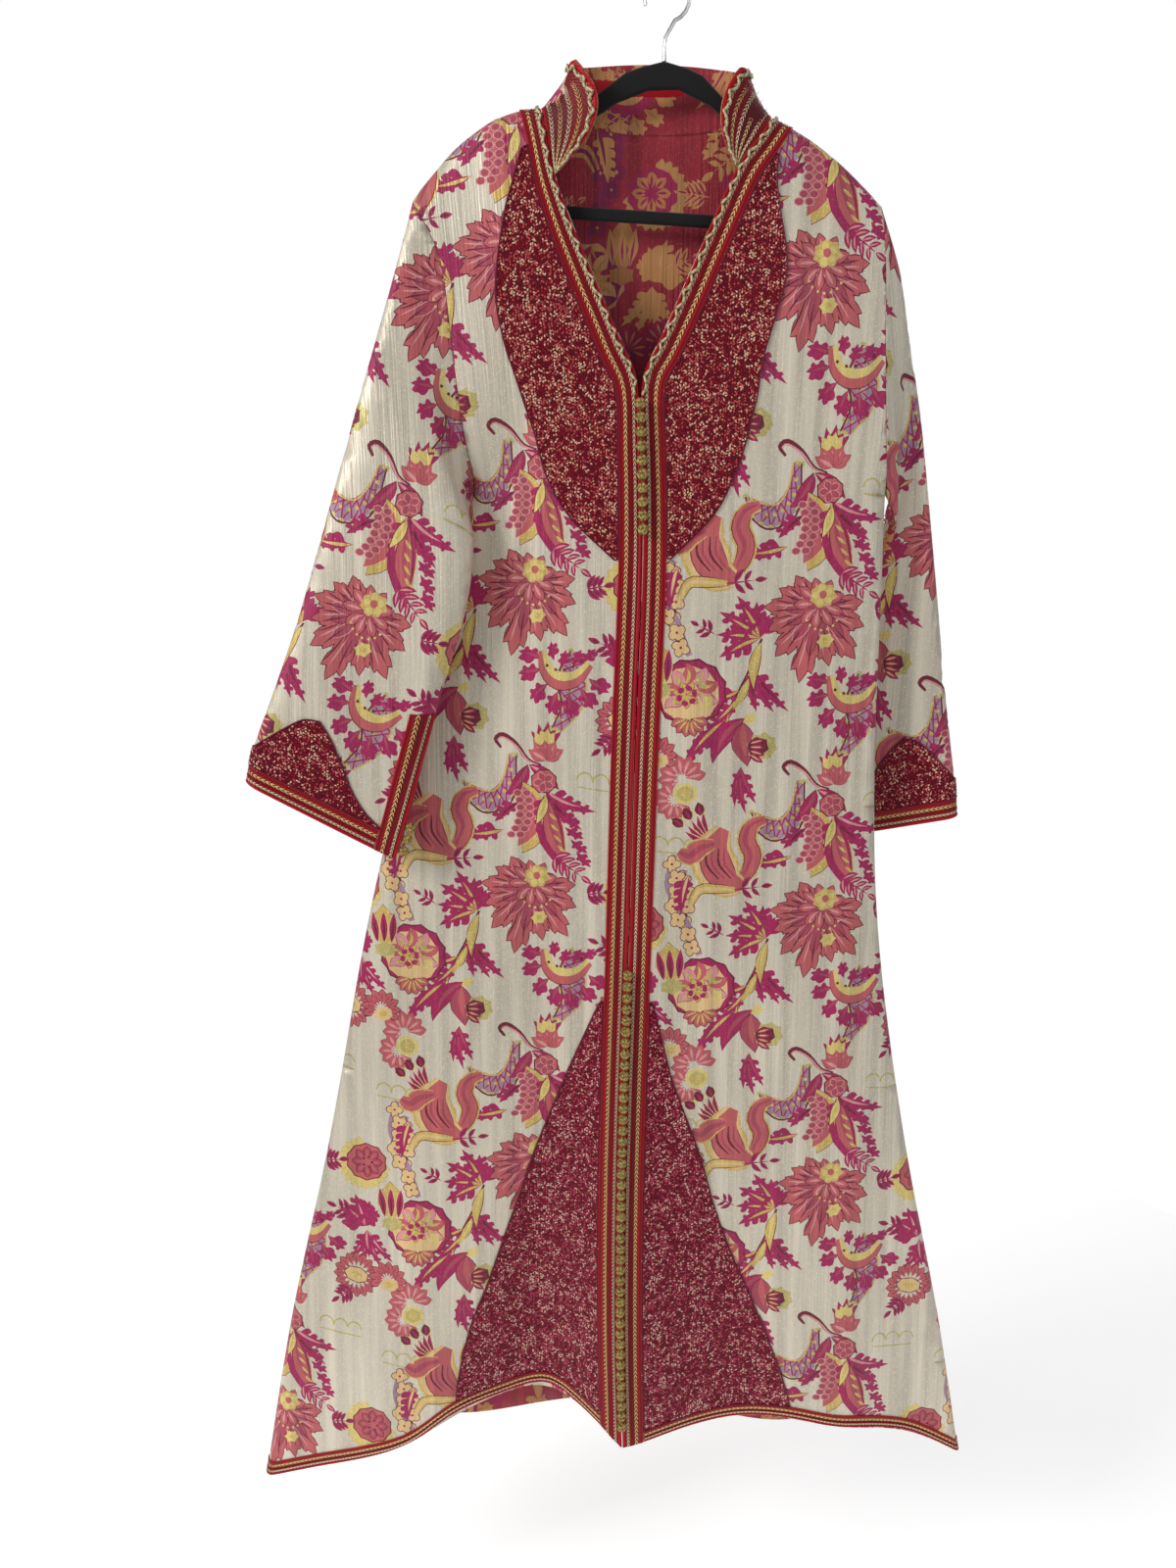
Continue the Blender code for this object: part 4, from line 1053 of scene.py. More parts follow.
def one_repeat():
    chart = Chart()
    clover_string(chart, -146, 44)
    clover_string(chart, -156, -262, 5)
    gold_scallops(chart, -160, -240)
    gold_scallops(chart, 66, -206)
    leaf_fan(chart, -58, -28)
    pomegranate(chart, -130, -80)
    daisies(chart, -146, -178)
    hanging_bud(chart, -74, -138)
    hooked_pod(chart, -34, -164)
    lotus(chart, 16, -172)
    ball_and_sprays(chart, 15, -207)
    flame(chart, -104, -256)
    chart.sprig((-92, -294), 4, 30, 2, 16)
    maple(chart, 108, -82)
    bell_bud(chart, 140, -52)
    lattice(
        chart,
        [(44, -70), (34, -84), (30, -104), (34, -126), (24, -150)],
        [(60, -74), (58, -90), (60, -110), (54, -132), (34, -154)],
    )
    curved_spray(chart, 28, -94)
    fringed(chart, 108, -6)
    daisy_pair(chart, 96, -142)
    chart.sprig((92, -158), 218, 22, 3, 16)
    chart.sprig((56, -8), 10, 22, 3, 17)
    chart.sprig((20, 38), -36, 42, 4, 18, vein="pink")
    peony(chart, 0, 0)
    return chart.shapes


shapes = one_repeat()
print("shapes in one repeat:", len(shapes), "places:", sum(len(ring) for ring, _ in shapes))

# %% [markdown]
# ## Cutting the cloth
# First one repeat is cut: a triangulation joins the outlines of all its shapes, the top shape
# gives each triangle its thread, and edges inside one colour dissolve. Then each piece of cloth
# is cut from the brocade: the repeat's colour edges, copied side by side, are joined with the
# edge of the piece in a second triangulation. So every colour change is a real edge in the mesh
# and stays sharp from near. The places then move from the flat pattern to the hanging cloth,
# and Solidify gives the cloth its thickness and its reverse.


# %% Cut one repeat
def cut_repeat(merge, straight):
    """The repeat as a flat mesh; places nearer than merge join, bends under straight degrees go."""
    places = [(0, 0), (REPEAT_WIDE, 0), (REPEAT_WIDE, REPEAT_HIGH), (0, REPEAT_HIGH)]
    rings, threads = [[0, 1, 2, 3]], ["ground"]
    for ring, thread in shapes:
        for row in (-1, 0, 1, 2):
            for column in (-1, 0, 1, 2):
                moved = ring / 1000 + complex(column * REPEAT_WIDE, row * REPEAT_HIGH)
                if moved.real.max() < 0 or moved.real.min() > REPEAT_WIDE:
                    continue
                if moved.imag.max() < 0 or moved.imag.min() > REPEAT_HIGH:
                    continue
                rings.append(list(range(len(places), len(places) + len(ring))))
                places += [(z.real, z.imag) for z in moved]
                threads.append(thread)
    verts, _, faces, _, _, origins = delaunay_2d_cdt(
        [Vector(p) for p in places], [], rings, 0, 1e-6
    )
    order = list(THREADS)
    mesh = bpy.data.meshes.new("repeat")
    kept = [(face, threads[max(origin)]) for face, origin in zip(faces, origins) if 0 in origin]
    mesh.from_pydata([(v.x, v.y, 0) for v in verts], [], [face for face, _ in kept])
    for thread in order:
        mesh.materials.append(bpy.data.materials.new("chart " + thread))
    mesh.polygons.foreach_set("material_index", [order.index(thread) for _, thread in kept])
    made = bmesh.new()
    made.from_mesh(mesh)
    bmesh.ops.dissolve_limit(
        made, angle_limit=math.radians(straight), use_dissolve_boundaries=False,
        verts=made.verts, edges=made.edges, delimit={"MATERIAL"},
    )
    bmesh.ops.triangulate(made, faces=made.faces)
    bmesh.ops.remove_doubles(made, verts=[v for v in made.verts if not v.is_boundary], dist=merge)
    bmesh.ops.dissolve_limit(
        made, angle_limit=math.radians(1), use_dissolve_boundaries=False,
        verts=made.verts, edges=made.edges, delimit={"MATERIAL"},
    )
    bmesh.ops.triangulate(made, faces=made.faces)
    made.to_mesh(mesh)
    made.free()
    return mesh


class Tile:
    """One repeat, ready to be copied: its places, its colour edges and the thread at any place."""

    def __init__(self, merge, straight):
        mesh = cut_repeat(merge, straight)
        self.places = np.array([complex(v.co.x, v.co.y) for v in mesh.vertices])
        self.threads = [list(THREADS)[face.material_index] for face in mesh.polygons]
        self.faces = BVHTree.FromPolygons(
            [v.co for v in mesh.vertices], [tuple(f.vertices) for f in mesh.polygons]
        )
        beside = {}
        for face in mesh.polygons:
            for key in face.edge_keys:
                beside.setdefault(key, []).append(face.material_index)
        self.edges = [key for key, sides in beside.items() if len(set(sides)) > 1]
        print("one repeat:", len(mesh.polygons), "triangles,", len(self.edges), "colour edges")

    def thread_at(self, place):
        across, up = place.real % REPEAT_WIDE, place.imag % REPEAT_HIGH
        return self.threads[self.faces.find_nearest(Vector((across, up, 0)))[2]]


FINE, COARSE = Tile(0.0008, 3), Tile(0.0014, 6)


# %% [markdown]
# The repeat is laid over a flat piece again and again, cut at its edge, and hung back in the
# folds. So each colour area has a clean woven edge that holds close up, with no picture.

# %% Weave a piece
CLOTH_THICK = 0.0014


def weave(cloth, anchor, turn, finishes, name, tile, every):
    """One piece of brocade with its flowers, hung and given its thickness."""
    heading = np.exp(1j * math.radians(turn))
    border = cloth.flat[cloth.border]
    if (np.conj(border) * np.roll(border, -1)).imag.sum() < 0:
        border = border[::-1]
    places, known, edges = [(z.real, z.imag) for z in border], {}, set()

    def numbered(place):
        """The number of a place; places less than a hundredth of a millimetre apart share one."""
        key = (round(place.real * 1e5), round(place.imag * 1e5))
        if key not in known:
            known[key] = len(places)
            places.append((place.real, place.imag))
        return known[key]

    low, high = border.real.min() - 0.02 + 1j * (
        border.imag.min() - 0.02
    ), border.real.max() + 0.02 + 1j * (border.imag.max() + 0.02)
    on_chart = (cloth.flat - complex(*anchor)) / heading
    rows = range(
        math.floor(on_chart.imag.min() / REPEAT_HIGH), math.ceil(on_chart.imag.max() / REPEAT_HIGH)
    )
    columns = range(
        math.floor(on_chart.real.min() / REPEAT_WIDE), math.ceil(on_chart.real.max() / REPEAT_WIDE)
    )
    for row in rows:
        for column in columns:
            moved = complex(*anchor) + heading * (
                tile.places + complex(column * REPEAT_WIDE, row * REPEAT_HIGH)
            )
            near = (
                (moved.real > low.real) & (moved.real < high.real)
                & (moved.imag > low.imag) & (moved.imag < high.imag)
            )
            for a, b in tile.edges:
                if near[a] and near[b]:
                    pair = sorted((numbered(moved[a]), numbered(moved[b])))
                    if pair[0] != pair[1]:
                        edges.add(tuple(pair))
    inside = sorted(set(range(len(cloth.flat))) - set(cloth.border))
    places += [(cloth.flat[i].real, cloth.flat[i].imag) for i in inside[::every]]
    rim = list(range(len(border)))
    print(name, len(places), "places", len(edges), "edges", flush=True)
    verts, _, faces, _, _, origins = delaunay_2d_cdt(
        [Vector(p) for p in places], sorted(edges), [rim], 0, 1e-5
    )
    kept = []
    for face, origin in zip(faces, origins):
        if origin:
            middle = complex(*sum((verts[i] for i in face), Vector((0, 0))) / len(face))
            kept.append((face, tile.thread_at((middle - complex(*anchor)) / heading)))
    used = sorted(set(i for face, _ in kept for i in face))
    number = {old: new for new, old in enumerate(used)}
    mesh = bpy.data.meshes.new(name)
    hung = [cloth.at(*verts[i])[0] for i in used]
    mesh.from_pydata(hung, [], [[number[i] for i in face] for face, _ in kept])
    mesh.uv_layers.new(name="flat")
    for label, kind in (("dye", "FLOAT_COLOR"), ("reverse", "FLOAT_COLOR"), ("lurex", "FLOAT")):
        mesh.attributes.new(label, kind, "CORNER")
    uv, one, two, metal = [], [], [], []
    tints = {
        t: ((*linear(face), 1), (*linear(reverse), 1), share) for t,
        (face, share, reverse) in THREADS.items()
    }
    for face, thread in kept:
        front_tint, back_tint, share = tints[thread]
        for i in face:
            uv += verts[i][:2]
            one += front_tint
            two += back_tint
            metal.append(share)
    mesh.uv_layers["flat"].uv.foreach_set("vector", uv)
    mesh.attributes["dye"].data.foreach_set("color", one)
    mesh.attributes["reverse"].data.foreach_set("color", two)
    mesh.attributes["lurex"].data.foreach_set("value", metal)
    mesh.shade_smooth()
    piece = bpy.data.objects.new(name, mesh)
    bpy.context.scene.collection.objects.link(piece)
    for finish in finishes:
        mesh.materials.append(finish)
    wall = piece.modifiers.new("thickness", "SOLIDIFY")
    wall.thickness = CLOTH_THICK
    wall.offset = -1
    wall.material_offset = wall.material_offset_rim = 1
    alone()
    bpy.context.view_layer.objects.active = piece
    piece.select_set(True)
    bpy.ops.object.modifier_apply(modifier=wall.name)
    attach(piece, "root")
    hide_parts(cloth.source)
    print(f"{name}: {len(piece.data.polygons)} faces")
    return piece


# %% [markdown]
# The pattern is anchored on each piece, as a cutter places it, about level on the two
# fronts. The back takes a coarser tile of the same repeat, which saves triangles.

# %% Weave the six pieces
LAYOUT = {
    "front_left": ((0.161, -0.575), 3.0),
    "front_right": ((-0.141, -0.552), 0.5),
    "back": ((-0.10, -0.50), 0.0),
    "sleeve_right": ((-0.30, -0.58), -17.0),
    "sleeve_left": ((0.29, -0.50), 8.0),
    "collar": ((0.0, 0.0), 0.0),
}
brocades = {}
for name, (anchor, turn) in LAYOUT.items():
    tile, every = (COARSE, 6) if name == "back" else (FINE, 4)
    brocades[name] = weave(
        cloths[name], anchor, turn, (FACE, REVERSE), f"brocade_{name}", tile, every
    )

# %% [markdown]
# ## What is sewn on
# Braid, beading and cords lie on the cloth. The CAD strip of each gives its outline; the two long
# sides of that outline become rails, and everything between them is laid on the smooth cloth
# underneath, so that it follows every fold. Stitches and beads are small grains: eight-sided
# lozenges, many to one mesh, each with its own thread colour.


# %% Grains: many small lozenges in one mesh
# A lozenge has six tips, two along each of its three ways, and these eight faces.
LOZENGE = [(0, 2, 4), (2, 1, 4), (1, 3, 4), (3, 0, 4), (2, 0, 5), (1, 2, 5), (3, 1, 5), (0, 3, 5)]


class Heap:
    """Faces gathered for one mesh, each with a colour and a share of metal."""

    def __init__(self):
        self.points, self.faces, self.colours, self.metals = [], [], [], []

    def add(self, points, faces, colours, metals):
        first = sum(len(p) for p in self.points)
        self.points.append(np.asarray(points, float))
        self.faces += [[first + i for i in face] for face in faces]
        self.colours += colours
        self.metals += metals

    def grains(self, places, ways, normals, long, wide, high, rgb, metal):
        """Lozenges at places: long along ways, high along normals; a size may be one for each grain."""
        places, ways, normals = (np.asarray(a, float) for a in (places, ways, normals))
        if not len(places):
            return
        ways = ways - normals * (ways * normals).sum(1)[:, None]
        ways /= np.linalg.norm(ways, axis=1)[:, None] + 1e-12
        across = np.cross(normals, ways)
        size = [np.broadcast_to(np.asarray(s, float), len(places))[:, None] / 2 for s in (long, wide, high)]
        tips = [
            places + s * a * w for a,
            w in ((ways, size[0]), (across, size[1]), (normals, size[2])) for s in (1, -1)
        ]
        points = np.stack(tips, 1).reshape(-1, 3)
        faces = [[6 * i + k for k in face] for i in range(len(places)) for face in LOZENGE]
        tints = rgb if isinstance(rgb, list) else [rgb] * len(places)
        shares = metal if isinstance(metal, list) else [metal] * len(places)
        self.add(
            points, faces, [t for t in tints for _ in LOZENGE], [m for m in shares for _ in LOZENGE]
        )

    def made(self, name, finish, smooth=False):
        mesh = bpy.data.meshes.new(name)
        mesh.from_pydata(np.concatenate(self.points), [], self.faces)
        mesh.attributes.new("dye", "FLOAT_COLOR", "FACE")
        mesh.attributes.new("lurex", "FLOAT", "FACE")
        flat = [value for rgb in self.colours for value in (*linear(rgb), 1)]
        mesh.attributes["dye"].data.foreach_set("color", flat)
        mesh.attributes["lurex"].data.foreach_set("value", [float(m) for m in self.metals])
        mesh.polygons.foreach_set("use_smooth", [smooth] * len(mesh.polygons))
        mesh.materials.append(finish)
        piece = bpy.data.objects.new(name, mesh)
        bpy.context.scene.collection.objects.link(piece)
        return piece


def sewn(name, roughness, bump, turns):
    """Thread that takes its colour from the mesh, with the fine twist of its plies as bumps and as painted
    shade on each ply.
    """
    made, tree, shader = material(
        name, roughness=roughness, Sheen_Weight=0.02, Specular_IOR_Level=0.25
    )
    place = node(tree, "ShaderNodeTexCoord").outputs["Object"]
    metal = attribute(tree, "lurex").outputs["Fac"]
    wave = placed(tree, TWIST, Place=place, Turns=turns)
    # Painted shade and light: the twist ridges darken and lighten the dye along each ply.
    shade = node(tree, "ShaderNodeMapRange", {0: wave.outputs[0], 1: -1.0, 2: 1.0, 3: 0.8, 4: 1.12})
    dye_with_painted_shade = node(
        tree, "ShaderNodeMix", {0: 1.0, 6: attribute(tree, "dye").outputs["Color"]},
        data_type="RGBA", blend_type="MULTIPLY"
    )
    tree.links.new(shade.outputs[0], dye_with_painted_shade.inputs[7])
    tree.links.new(dye_with_painted_shade.outputs[2], shader.inputs["Base Color"])
    tree.links.new(maths(tree, "MULTIPLY", metal, 0.7), shader.inputs["Metallic"])
    bumped(tree, shader, wave.outputs[0], bump, 0.6)
    return made


SFIFA = sewn("sfifa silk", 0.45, 0.0002, 2600.0)
BEADS = sewn("glitter beads", 0.22, 0.0001, 1500.0)
KNOTS = sewn("gold silk", 0.42, 0.00025, 3600.0)


# %% [markdown]
# Braid is sewn along an edge and follows it. Two rails, one on each long side, carry rows
# between them, and a place is given by its row and by its share of the way across.

# %% Rails along a sewn-on strip
def chain_between(ring, start, end):
    return ring[start : end + 1] if start <= end else ring[start:] + ring[: end + 1]


def smooth_line(points, count):
    """Count places evenly along a curve through the points."""
    points = np.array(points)
    padded = np.vstack([2 * points[0] - points[1], points, 2 * points[-1] - points[-2]])
    fine = []
    for i in range(1, len(padded) - 2):
        before, a, b, after = padded[i - 1 : i + 3]
        for t in np.linspace(0, 1, 12, endpoint=False):
            curve = (2 * before - 5 * a + 4 * b - after) + t * (3 * (a - b) + after - before)
            fine.append(a + 0.5 * t * ((b - before) + t * curve))
    fine = np.array(fine + [points[-1]])
    run = np.concatenate([[0], np.cumsum(np.linalg.norm(np.diff(fine, axis=0), axis=1))])
    wanted = np.linspace(0, run[-1], count)
    return np.stack([np.interp(wanted, run, fine[:, k]) for k in range(3)], 1), run[-1]


def rim_of(source, toward, wall):
    """The coarse outline of a CAD strip's outer face, as points in order."""
    piece = outer_face("strip", source, toward, wall)
    ring = [piece.data.vertices[i].co.copy() for i in border_of(piece.data)]
    bpy.data.objects.remove(piece)
    return ring


def long_sides(ring, ends=None):
    """A strip's two long sides, both run the same way; ends are where they meet, if they do."""
    count = len(ring)
    if ends:
        one, two = sorted(
            min(range(count), key=lambda i: (ring[i] - Vector(end)).length) for end in ends
        )
        return chain_between(ring, one, two), chain_between(ring, two, one)[::-1]
    turns = []
    for i in range(count):
        a, b = ring[i] - ring[i - 1], ring[(i + 1) % count] - ring[i]
        turns.append((a.angle(b, 0.0), i))
    corners = sorted(i for _, i in sorted(turns)[-4:])
    chains = [chain_between(ring, corners[k], corners[(k + 1) % 4]) for k in range(4)]
    run = [sum((chain[i + 1] - chain[i]).length for i in range(len(chain) - 1)) for chain in chains]
    first = 0 if run[0] + run[2] > run[1] + run[3] else 1
    return chains[first], chains[first + 2][::-1]


class Strip:
    """A band on the cloth: rows run along it, and v runs across it from its outer edge."""

    ACROSS = 7

    def __init__(
        self, cloth, source, edge, toward=FRONT, step=0.0046, wall=0.0016, ring=None, ends=None
    ):
        self.source, self.cloth = source, cloth
        sides = long_sides(ring or rim_of(source, toward, wall), ends)
        if edge(sum(sides[0], Vector()) / len(sides[0])) < edge(
            sum(sides[1], Vector()) / len(sides[1])
        ):
            sides = sides[::-1]
        length = max(smooth_line(side, 3)[1] for side in sides)
        self.rows = max(4, round(length / step) + 1)
        self.length = length
        (near, _), (far, _) = (smooth_line(side, self.rows) for side in sides)
        self.width = float(np.linalg.norm(near - far, axis=1).mean())
        points, normals = [], []
        for i in range(self.rows):
            for j in range(self.ACROSS):
                v = j / (self.ACROSS - 1)
                place, normal = cloth.under(Vector(near[i] * (1 - v) + far[i] * v))
                points.append(place)
                normals.append(normal)
        shape = (self.rows, self.ACROSS, 3)
        self.points, self.normals = np.array(points).reshape(shape), np.array(normals).reshape(shape)

    def at(self, row, v, lift=0.0):
        """Places and normals at row numbers (not whole ones too) and shares across."""
        row = np.clip(np.asarray(row, float), 0, self.rows - 1.0001)
        j = np.clip(
            np.broadcast_to(np.asarray(v, float), row.shape) * (self.ACROSS - 1), 0,
            self.ACROSS - 1.0001
        )
        a, b = row.astype(int), j.astype(int)
        s, t = (row - a)[:, None], (j - b)[:, None]
        parts = []
        for grid in (self.points, self.normals):
            low = grid[a, b] * (1 - s) + grid[a + 1, b] * s
            high = grid[a, b + 1] * (1 - s) + grid[a + 1, b + 1] * s
            parts.append(low * (1 - t) + high * t)
        place, normal = parts
        normal = normal / np.linalg.norm(normal, axis=1)[:, None]
        return place + normal * lift, normal


print("sewing helpers are ready")

# %% [markdown]
# ## Sfifa, the flat braid
# Sfifa is a flat silk braid finger-woven with metal thread. It has corded red edges, a fine pale
# chevron row near the garment's edge and a bright gold chevron row beside it. The band is a loft
# along the rails with a raised cord at both edges; the chevrons are pairs of slanted grains.

# %% Sfifa bands
RED, DARK_RED, WINE_RED = (180, 4, 26), (122, 2, 16), (96, 4, 20)
BRIGHT, IVORY = (244, 208, 140), (246, 228, 190)
BAND_LIFT = 0.0002


def band(heap, strip, columns):
    """A closed loft along a strip: columns are (share across, height, colour)."""
    rows = np.arange(strip.rows)
    top = [strip.at(rows, v, BAND_LIFT + height)[0] for v, height, _ in columns]
    bottom = [strip.at(rows, v, BAND_LIFT)[0] for v, _, _ in columns[::-1]]
    ring = np.stack(top + bottom, 1)
    across = ring.shape[1]
    faces, tints = [], []
    for i in range(strip.rows - 1):
        for j in range(across):
            k = (j + 1) % across
            faces.append(
                (i * across + j, (i + 1) * across + j, (i + 1) * across + k, i * across + k)
            )
            tints.append(columns[min(j, len(columns) - 1)][2])
    faces.append(tuple(range(across)))
    faces.append(tuple((strip.rows - 1) * across + j for j in reversed(range(across))))
    tints += [columns[0][2]] * 2
    made = bmesh.new()
    verts = [made.verts.new(p) for p in ring.reshape(-1, 3)]
    for face in faces:
        made.faces.new([verts[i] for i in face])
    made.normal_update()
    outward = strip.normals[0, 3]
    flipped = sum(
        made_face.normal.dot(Vector(outward)) for made_face in list(made.faces)[: across // 2]
    ) < 0
    made.free()
    if flipped:
        faces = [tuple(reversed(face)) for face in faces]
    heap.add(ring.reshape(-1, 3), faces, tints, [0.08] * len(tints))


def chevrons(heap, strip, v, reach, pitch, thread, metal, thick, lift=0.0011, point=1):
    """A row of arrowheads: two slanted grains for each, meeting at the row's middle."""
    count = int(strip.length / pitch)
    for side in (-1, 1):
        rows = (np.arange(count) + 0.5) * (strip.rows - 1) / count
        spread_rows = 0.55 * (strip.rows - 1) / count * point
        inner, normal = strip.at(rows + spread_rows, v, lift)
        outer, _ = strip.at(rows - spread_rows, v + side * reach, lift)
        heap.grains(
            (inner + outer) / 2, outer - inner, normal,
            np.linalg.norm(outer - inner, axis=1) * 1.25, thick, 0.0009, thread, metal
        )


def sfifa(name, source, cloth, edge, toward=FRONT):
    strip = Strip(cloth, source, edge, toward)
    heap = Heap()
    columns = [
        (0.0, 0.0004, RED), (0.03, 0.0012, RED), (0.09, 0.0013, RED), (0.13, 0.0007, DARK_RED),
        (0.36, 0.0007, RED), (0.42, 0.0010, DARK_RED), (0.48, 0.0007, DARK_RED), (0.78, 0.0007, RED),
        (0.84, 0.0010, DARK_RED),
        (0.94, 0.0012, RED), (0.98, 0.0011, RED), (1.0, 0.0004, DARK_RED),
    ]
    band(heap, strip, columns)
    chevrons(heap, strip, 0.27, 0.060, 0.0044, IVORY, 0.12, 0.0010)
    chevrons(heap, strip, 0.42, 0.030, 0.0040, DARK_RED, 0.1, 0.0010)
    chevrons(heap, strip, 0.66, 0.080, 0.0052, BRIGHT, 0.15, 0.0013)
    piece = heap.made(name, SFIFA)
    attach(piece, "root")
    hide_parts(source)
    print(f"{name}: {strip.length:.2f} m by {strip.width * 1000:.0f} mm, {len(piece.data.polygons)} faces")
    return piece, strip


CENTRE = -0.02
sewn_on = {name: [] for name in cloths}
strips = {}


def toward_centre(place):
    return -abs(place.x - CENTRE)


for side in ("right", "left"):
    for part, edge in (
        (f"front_{side}", toward_centre), (f"hem_front_{side}", lambda place: -place.z)
    ):
        piece, strips[part] = sfifa(f"sfifa_{part}", f"braid_{part}", cloths[f"front_{side}"], edge)
        sewn_on[f"front_{side}"].append(piece)
    cuff_parts = [
        (f"cuff_{side}", lambda place: -place.z), (f"slit_front_{side}", None),
        (f"slit_back_{side}", None)
    ]
    inward = 1 if side == "right" else -1
    for part, edge in cuff_parts:
        edge = edge or (lambda place: inward * place.x)
        toward = BEHIND if "slit_back" in part else FRONT
        piece, strips[part] = sfifa(
            f"sfifa_{part}", f"braid_{part}", cloths[f"sleeve_{side}"], edge, toward
        )
        sewn_on[f"sleeve_{side}"].append(piece)
piece, strips["hem_back"] = sfifa(
    "sfifa_hem_back", "braid_hem_back", cloths["back"], lambda place: -place.z, BEHIND
)
sewn_on["back"].append(piece)

# %% [markdown]
# ## The collar's braid
# The standing collar is covered all over with chevrons on dark red. The rows follow its front
# edges and its top, one inside the other, and meet in a point at each foot. So one rail runs up
# the front edge, over the top and down again, and the other along the seam at the neck.

# %% Collar braid
COLLAR_FEET = [(0.065, -0.022, -0.168), (-0.104, -0.018, -0.173)]
collar = cloths["collar"]
collar_strip = Strip(
    collar, "braid_collar", lambda place: place.z, BEHIND, ring=collar.coarse, ends=COLLAR_FEET
)
heap = Heap()
band(heap, collar_strip, [
    (0.0, 0.0004, RED), (0.04, 0.0013, RED), (0.10, 0.0007, DARK_RED), (0.5, 0.0008, WINE_RED),
    (0.90, 0.0007, DARK_RED), (0.96, 0.0013, RED), (1.0, 0.0004, RED),
])
for v, thread in ((0.14, IVORY), (0.32, BRIGHT), (0.50, IVORY), (0.68, BRIGHT), (0.86, IVORY)):
    chevrons(heap, collar_strip, v, 0.042, 0.0050, thread, 0.15, 0.0010)
piece = heap.made("sfifa_collar", SFIFA)
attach(piece, "root")
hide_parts("braid_collar")
sewn_on["collar"].append(piece)
print(f"collar braid: {collar_strip.length:.2f} m by {collar_strip.width * 1000:.0f} mm")

# %% [markdown]
# ## Scalloped picot cord
# An ivory and gold cord runs in small scallops along the neck's edge. It is a tube that waves
# across the braid; two colours alternate along it as the plies turn.


# %% Tubes
def tube(heap, points, radius, tints, sides=6, metal=0.2, closed=False):
    """A round cord along points; tints repeat along it."""
    points = np.asarray(points, float)
    count = len(points)
    step = np.roll(points, -1, 0) - np.roll(points, 1, 0) if closed else np.gradient(points, axis=0)
    step /= np.linalg.norm(step, axis=1)[:, None] + 1e-12
    guide = np.array((0.31, -0.9, 0.27))
    one = np.cross(step, guide)
    one /= np.linalg.norm(one, axis=1)[:, None] + 1e-12
    two = np.cross(step, one)
    angles = np.arange(sides) * 2 * math.pi / sides
    radius = np.broadcast_to(np.asarray(radius, float), count)
    ring = points[:, None] + radius[:, None, None] * (
        np.cos(angles)[None, :, None] * one[:, None] + np.sin(angles)[None, :, None] * two[:, None]
    )
    faces, colours = [], []
    for i in range(count if closed else count - 1):
        j = (i + 1) % count
        for k in range(sides):
            m = (k + 1) % sides
            faces.append((i * sides + k, i * sides + m, j * sides + m, j * sides + k))
            colours.append(tints[(i + k // 2) % len(tints)])
    if not closed:
        faces += [
            tuple(reversed(range(sides))), tuple((count - 1) * sides + k for k in range(sides))
        ]
        colours += [tints[0]] * 2
    heap.add(ring.reshape(-1, 3), faces, colours, [metal] * len(faces))


PICOT_GOLD, PICOT_DIM = (218, 206, 168), (168, 150, 98)


def picot(name, strip, first, last, pitch, base, swing):
    """A scalloped cord between two rows of a strip."""
    per_row = strip.length / (strip.rows - 1)
    count = int((last - first) * per_row / 0.0022)
    rows = np.linspace(first, last, count)
    along = rows * per_row
    v = base + swing * np.abs(np.sin(math.pi * along / pitch))
    places, _ = strip.at(rows, v, 0.0026)
    heap = Heap()
    tube(heap, places, 0.00135, [PICOT_GOLD, PICOT_GOLD, PICOT_DIM], 6, 0.25)
    piece = heap.made(name, KNOTS, True)
    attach(piece, "root")
    return piece


for side in ("right", "left"):
    strip = strips[f"front_{side}"]
    heights = strip.points[:, 0, 2]
    if heights[0] < heights[-1]:
        strip.points, strip.normals = strip.points[::-1].copy(), strip.normals[::-1].copy()
        heights = heights[::-1]
    last = int(np.argmax(heights < -0.366))
    sewn_on[f"front_{side}"].append(
        picot(f"picot_front_{side}", strip, 0.5, last, 0.017, 0.05, 0.17)
    )
sewn_on["collar"].append(
    picot("picot_collar", collar_strip, 0.5, collar_strip.rows - 1.5, 0.017, 0.04, 0.12)
)
print("picot cords along the neck")

# %% [markdown]
# ## Glitter fields
# Eight fields are covered with small glass beads in a meandering pattern, sewn on dark red
# satin and edged with a thin cord. Each field is cut flat from its CAD outline, raised off the
# brocade by a millimetre, and covered with grains: pink and cream ones follow meandering lines,
# and dark red ones fill the rest, with a few pale gold beads, part metal, whose light colour paints glints.

# %% Lay the satin and scatter the beads
SATIN, EDGE_CORD = (104, 6, 30), (104, 14, 42)
# Blender seeds the offsets of noise_vector by the clock, so the meander is given a seed.
MEANDER_SEED = 7
# Per field: deep red, rose and cream beads, and a pale gold for the few part-metal beads whose light colour
# paints glints.
BEAD_TINTS = {
    "chest": ((150, 16, 34), (206, 92, 88), (240, 196, 164), (240, 196, 124)),
    "skirt": ((156, 12, 56), (206, 84, 108), (238, 190, 176), (234, 180, 122)),
    "cuff": ((150, 14, 44), (206, 88, 94), (238, 192, 166), (236, 188, 122)),
}


def rounded_outline(ring):
    """The outline with its corners kept and the rest drawn as one curve between them."""
    count = len(ring)
    turns = [
        abs(np.angle((ring[(i + 1) % count] - ring[i]) / (ring[i] - ring[i - 1])))
        for i in range(count)
    ]
    corners = [i for i in range(count) if turns[i] > 0.75]
    outline = []
    for one, two in zip(corners, corners[1:] + corners[:1]):
        chain = chain_between(ring, one, two)
        places = [(z.real, z.imag, 0) for z in chain]
        run = sum(abs(b - a) for a, b in zip(chain, chain[1:]))
        line, _ = smooth_line(places, max(2, round(run / 0.005)) + 1)
        outline += [complex(x, y) for x, y, _ in line[:-1]]
    return np.array(outline)


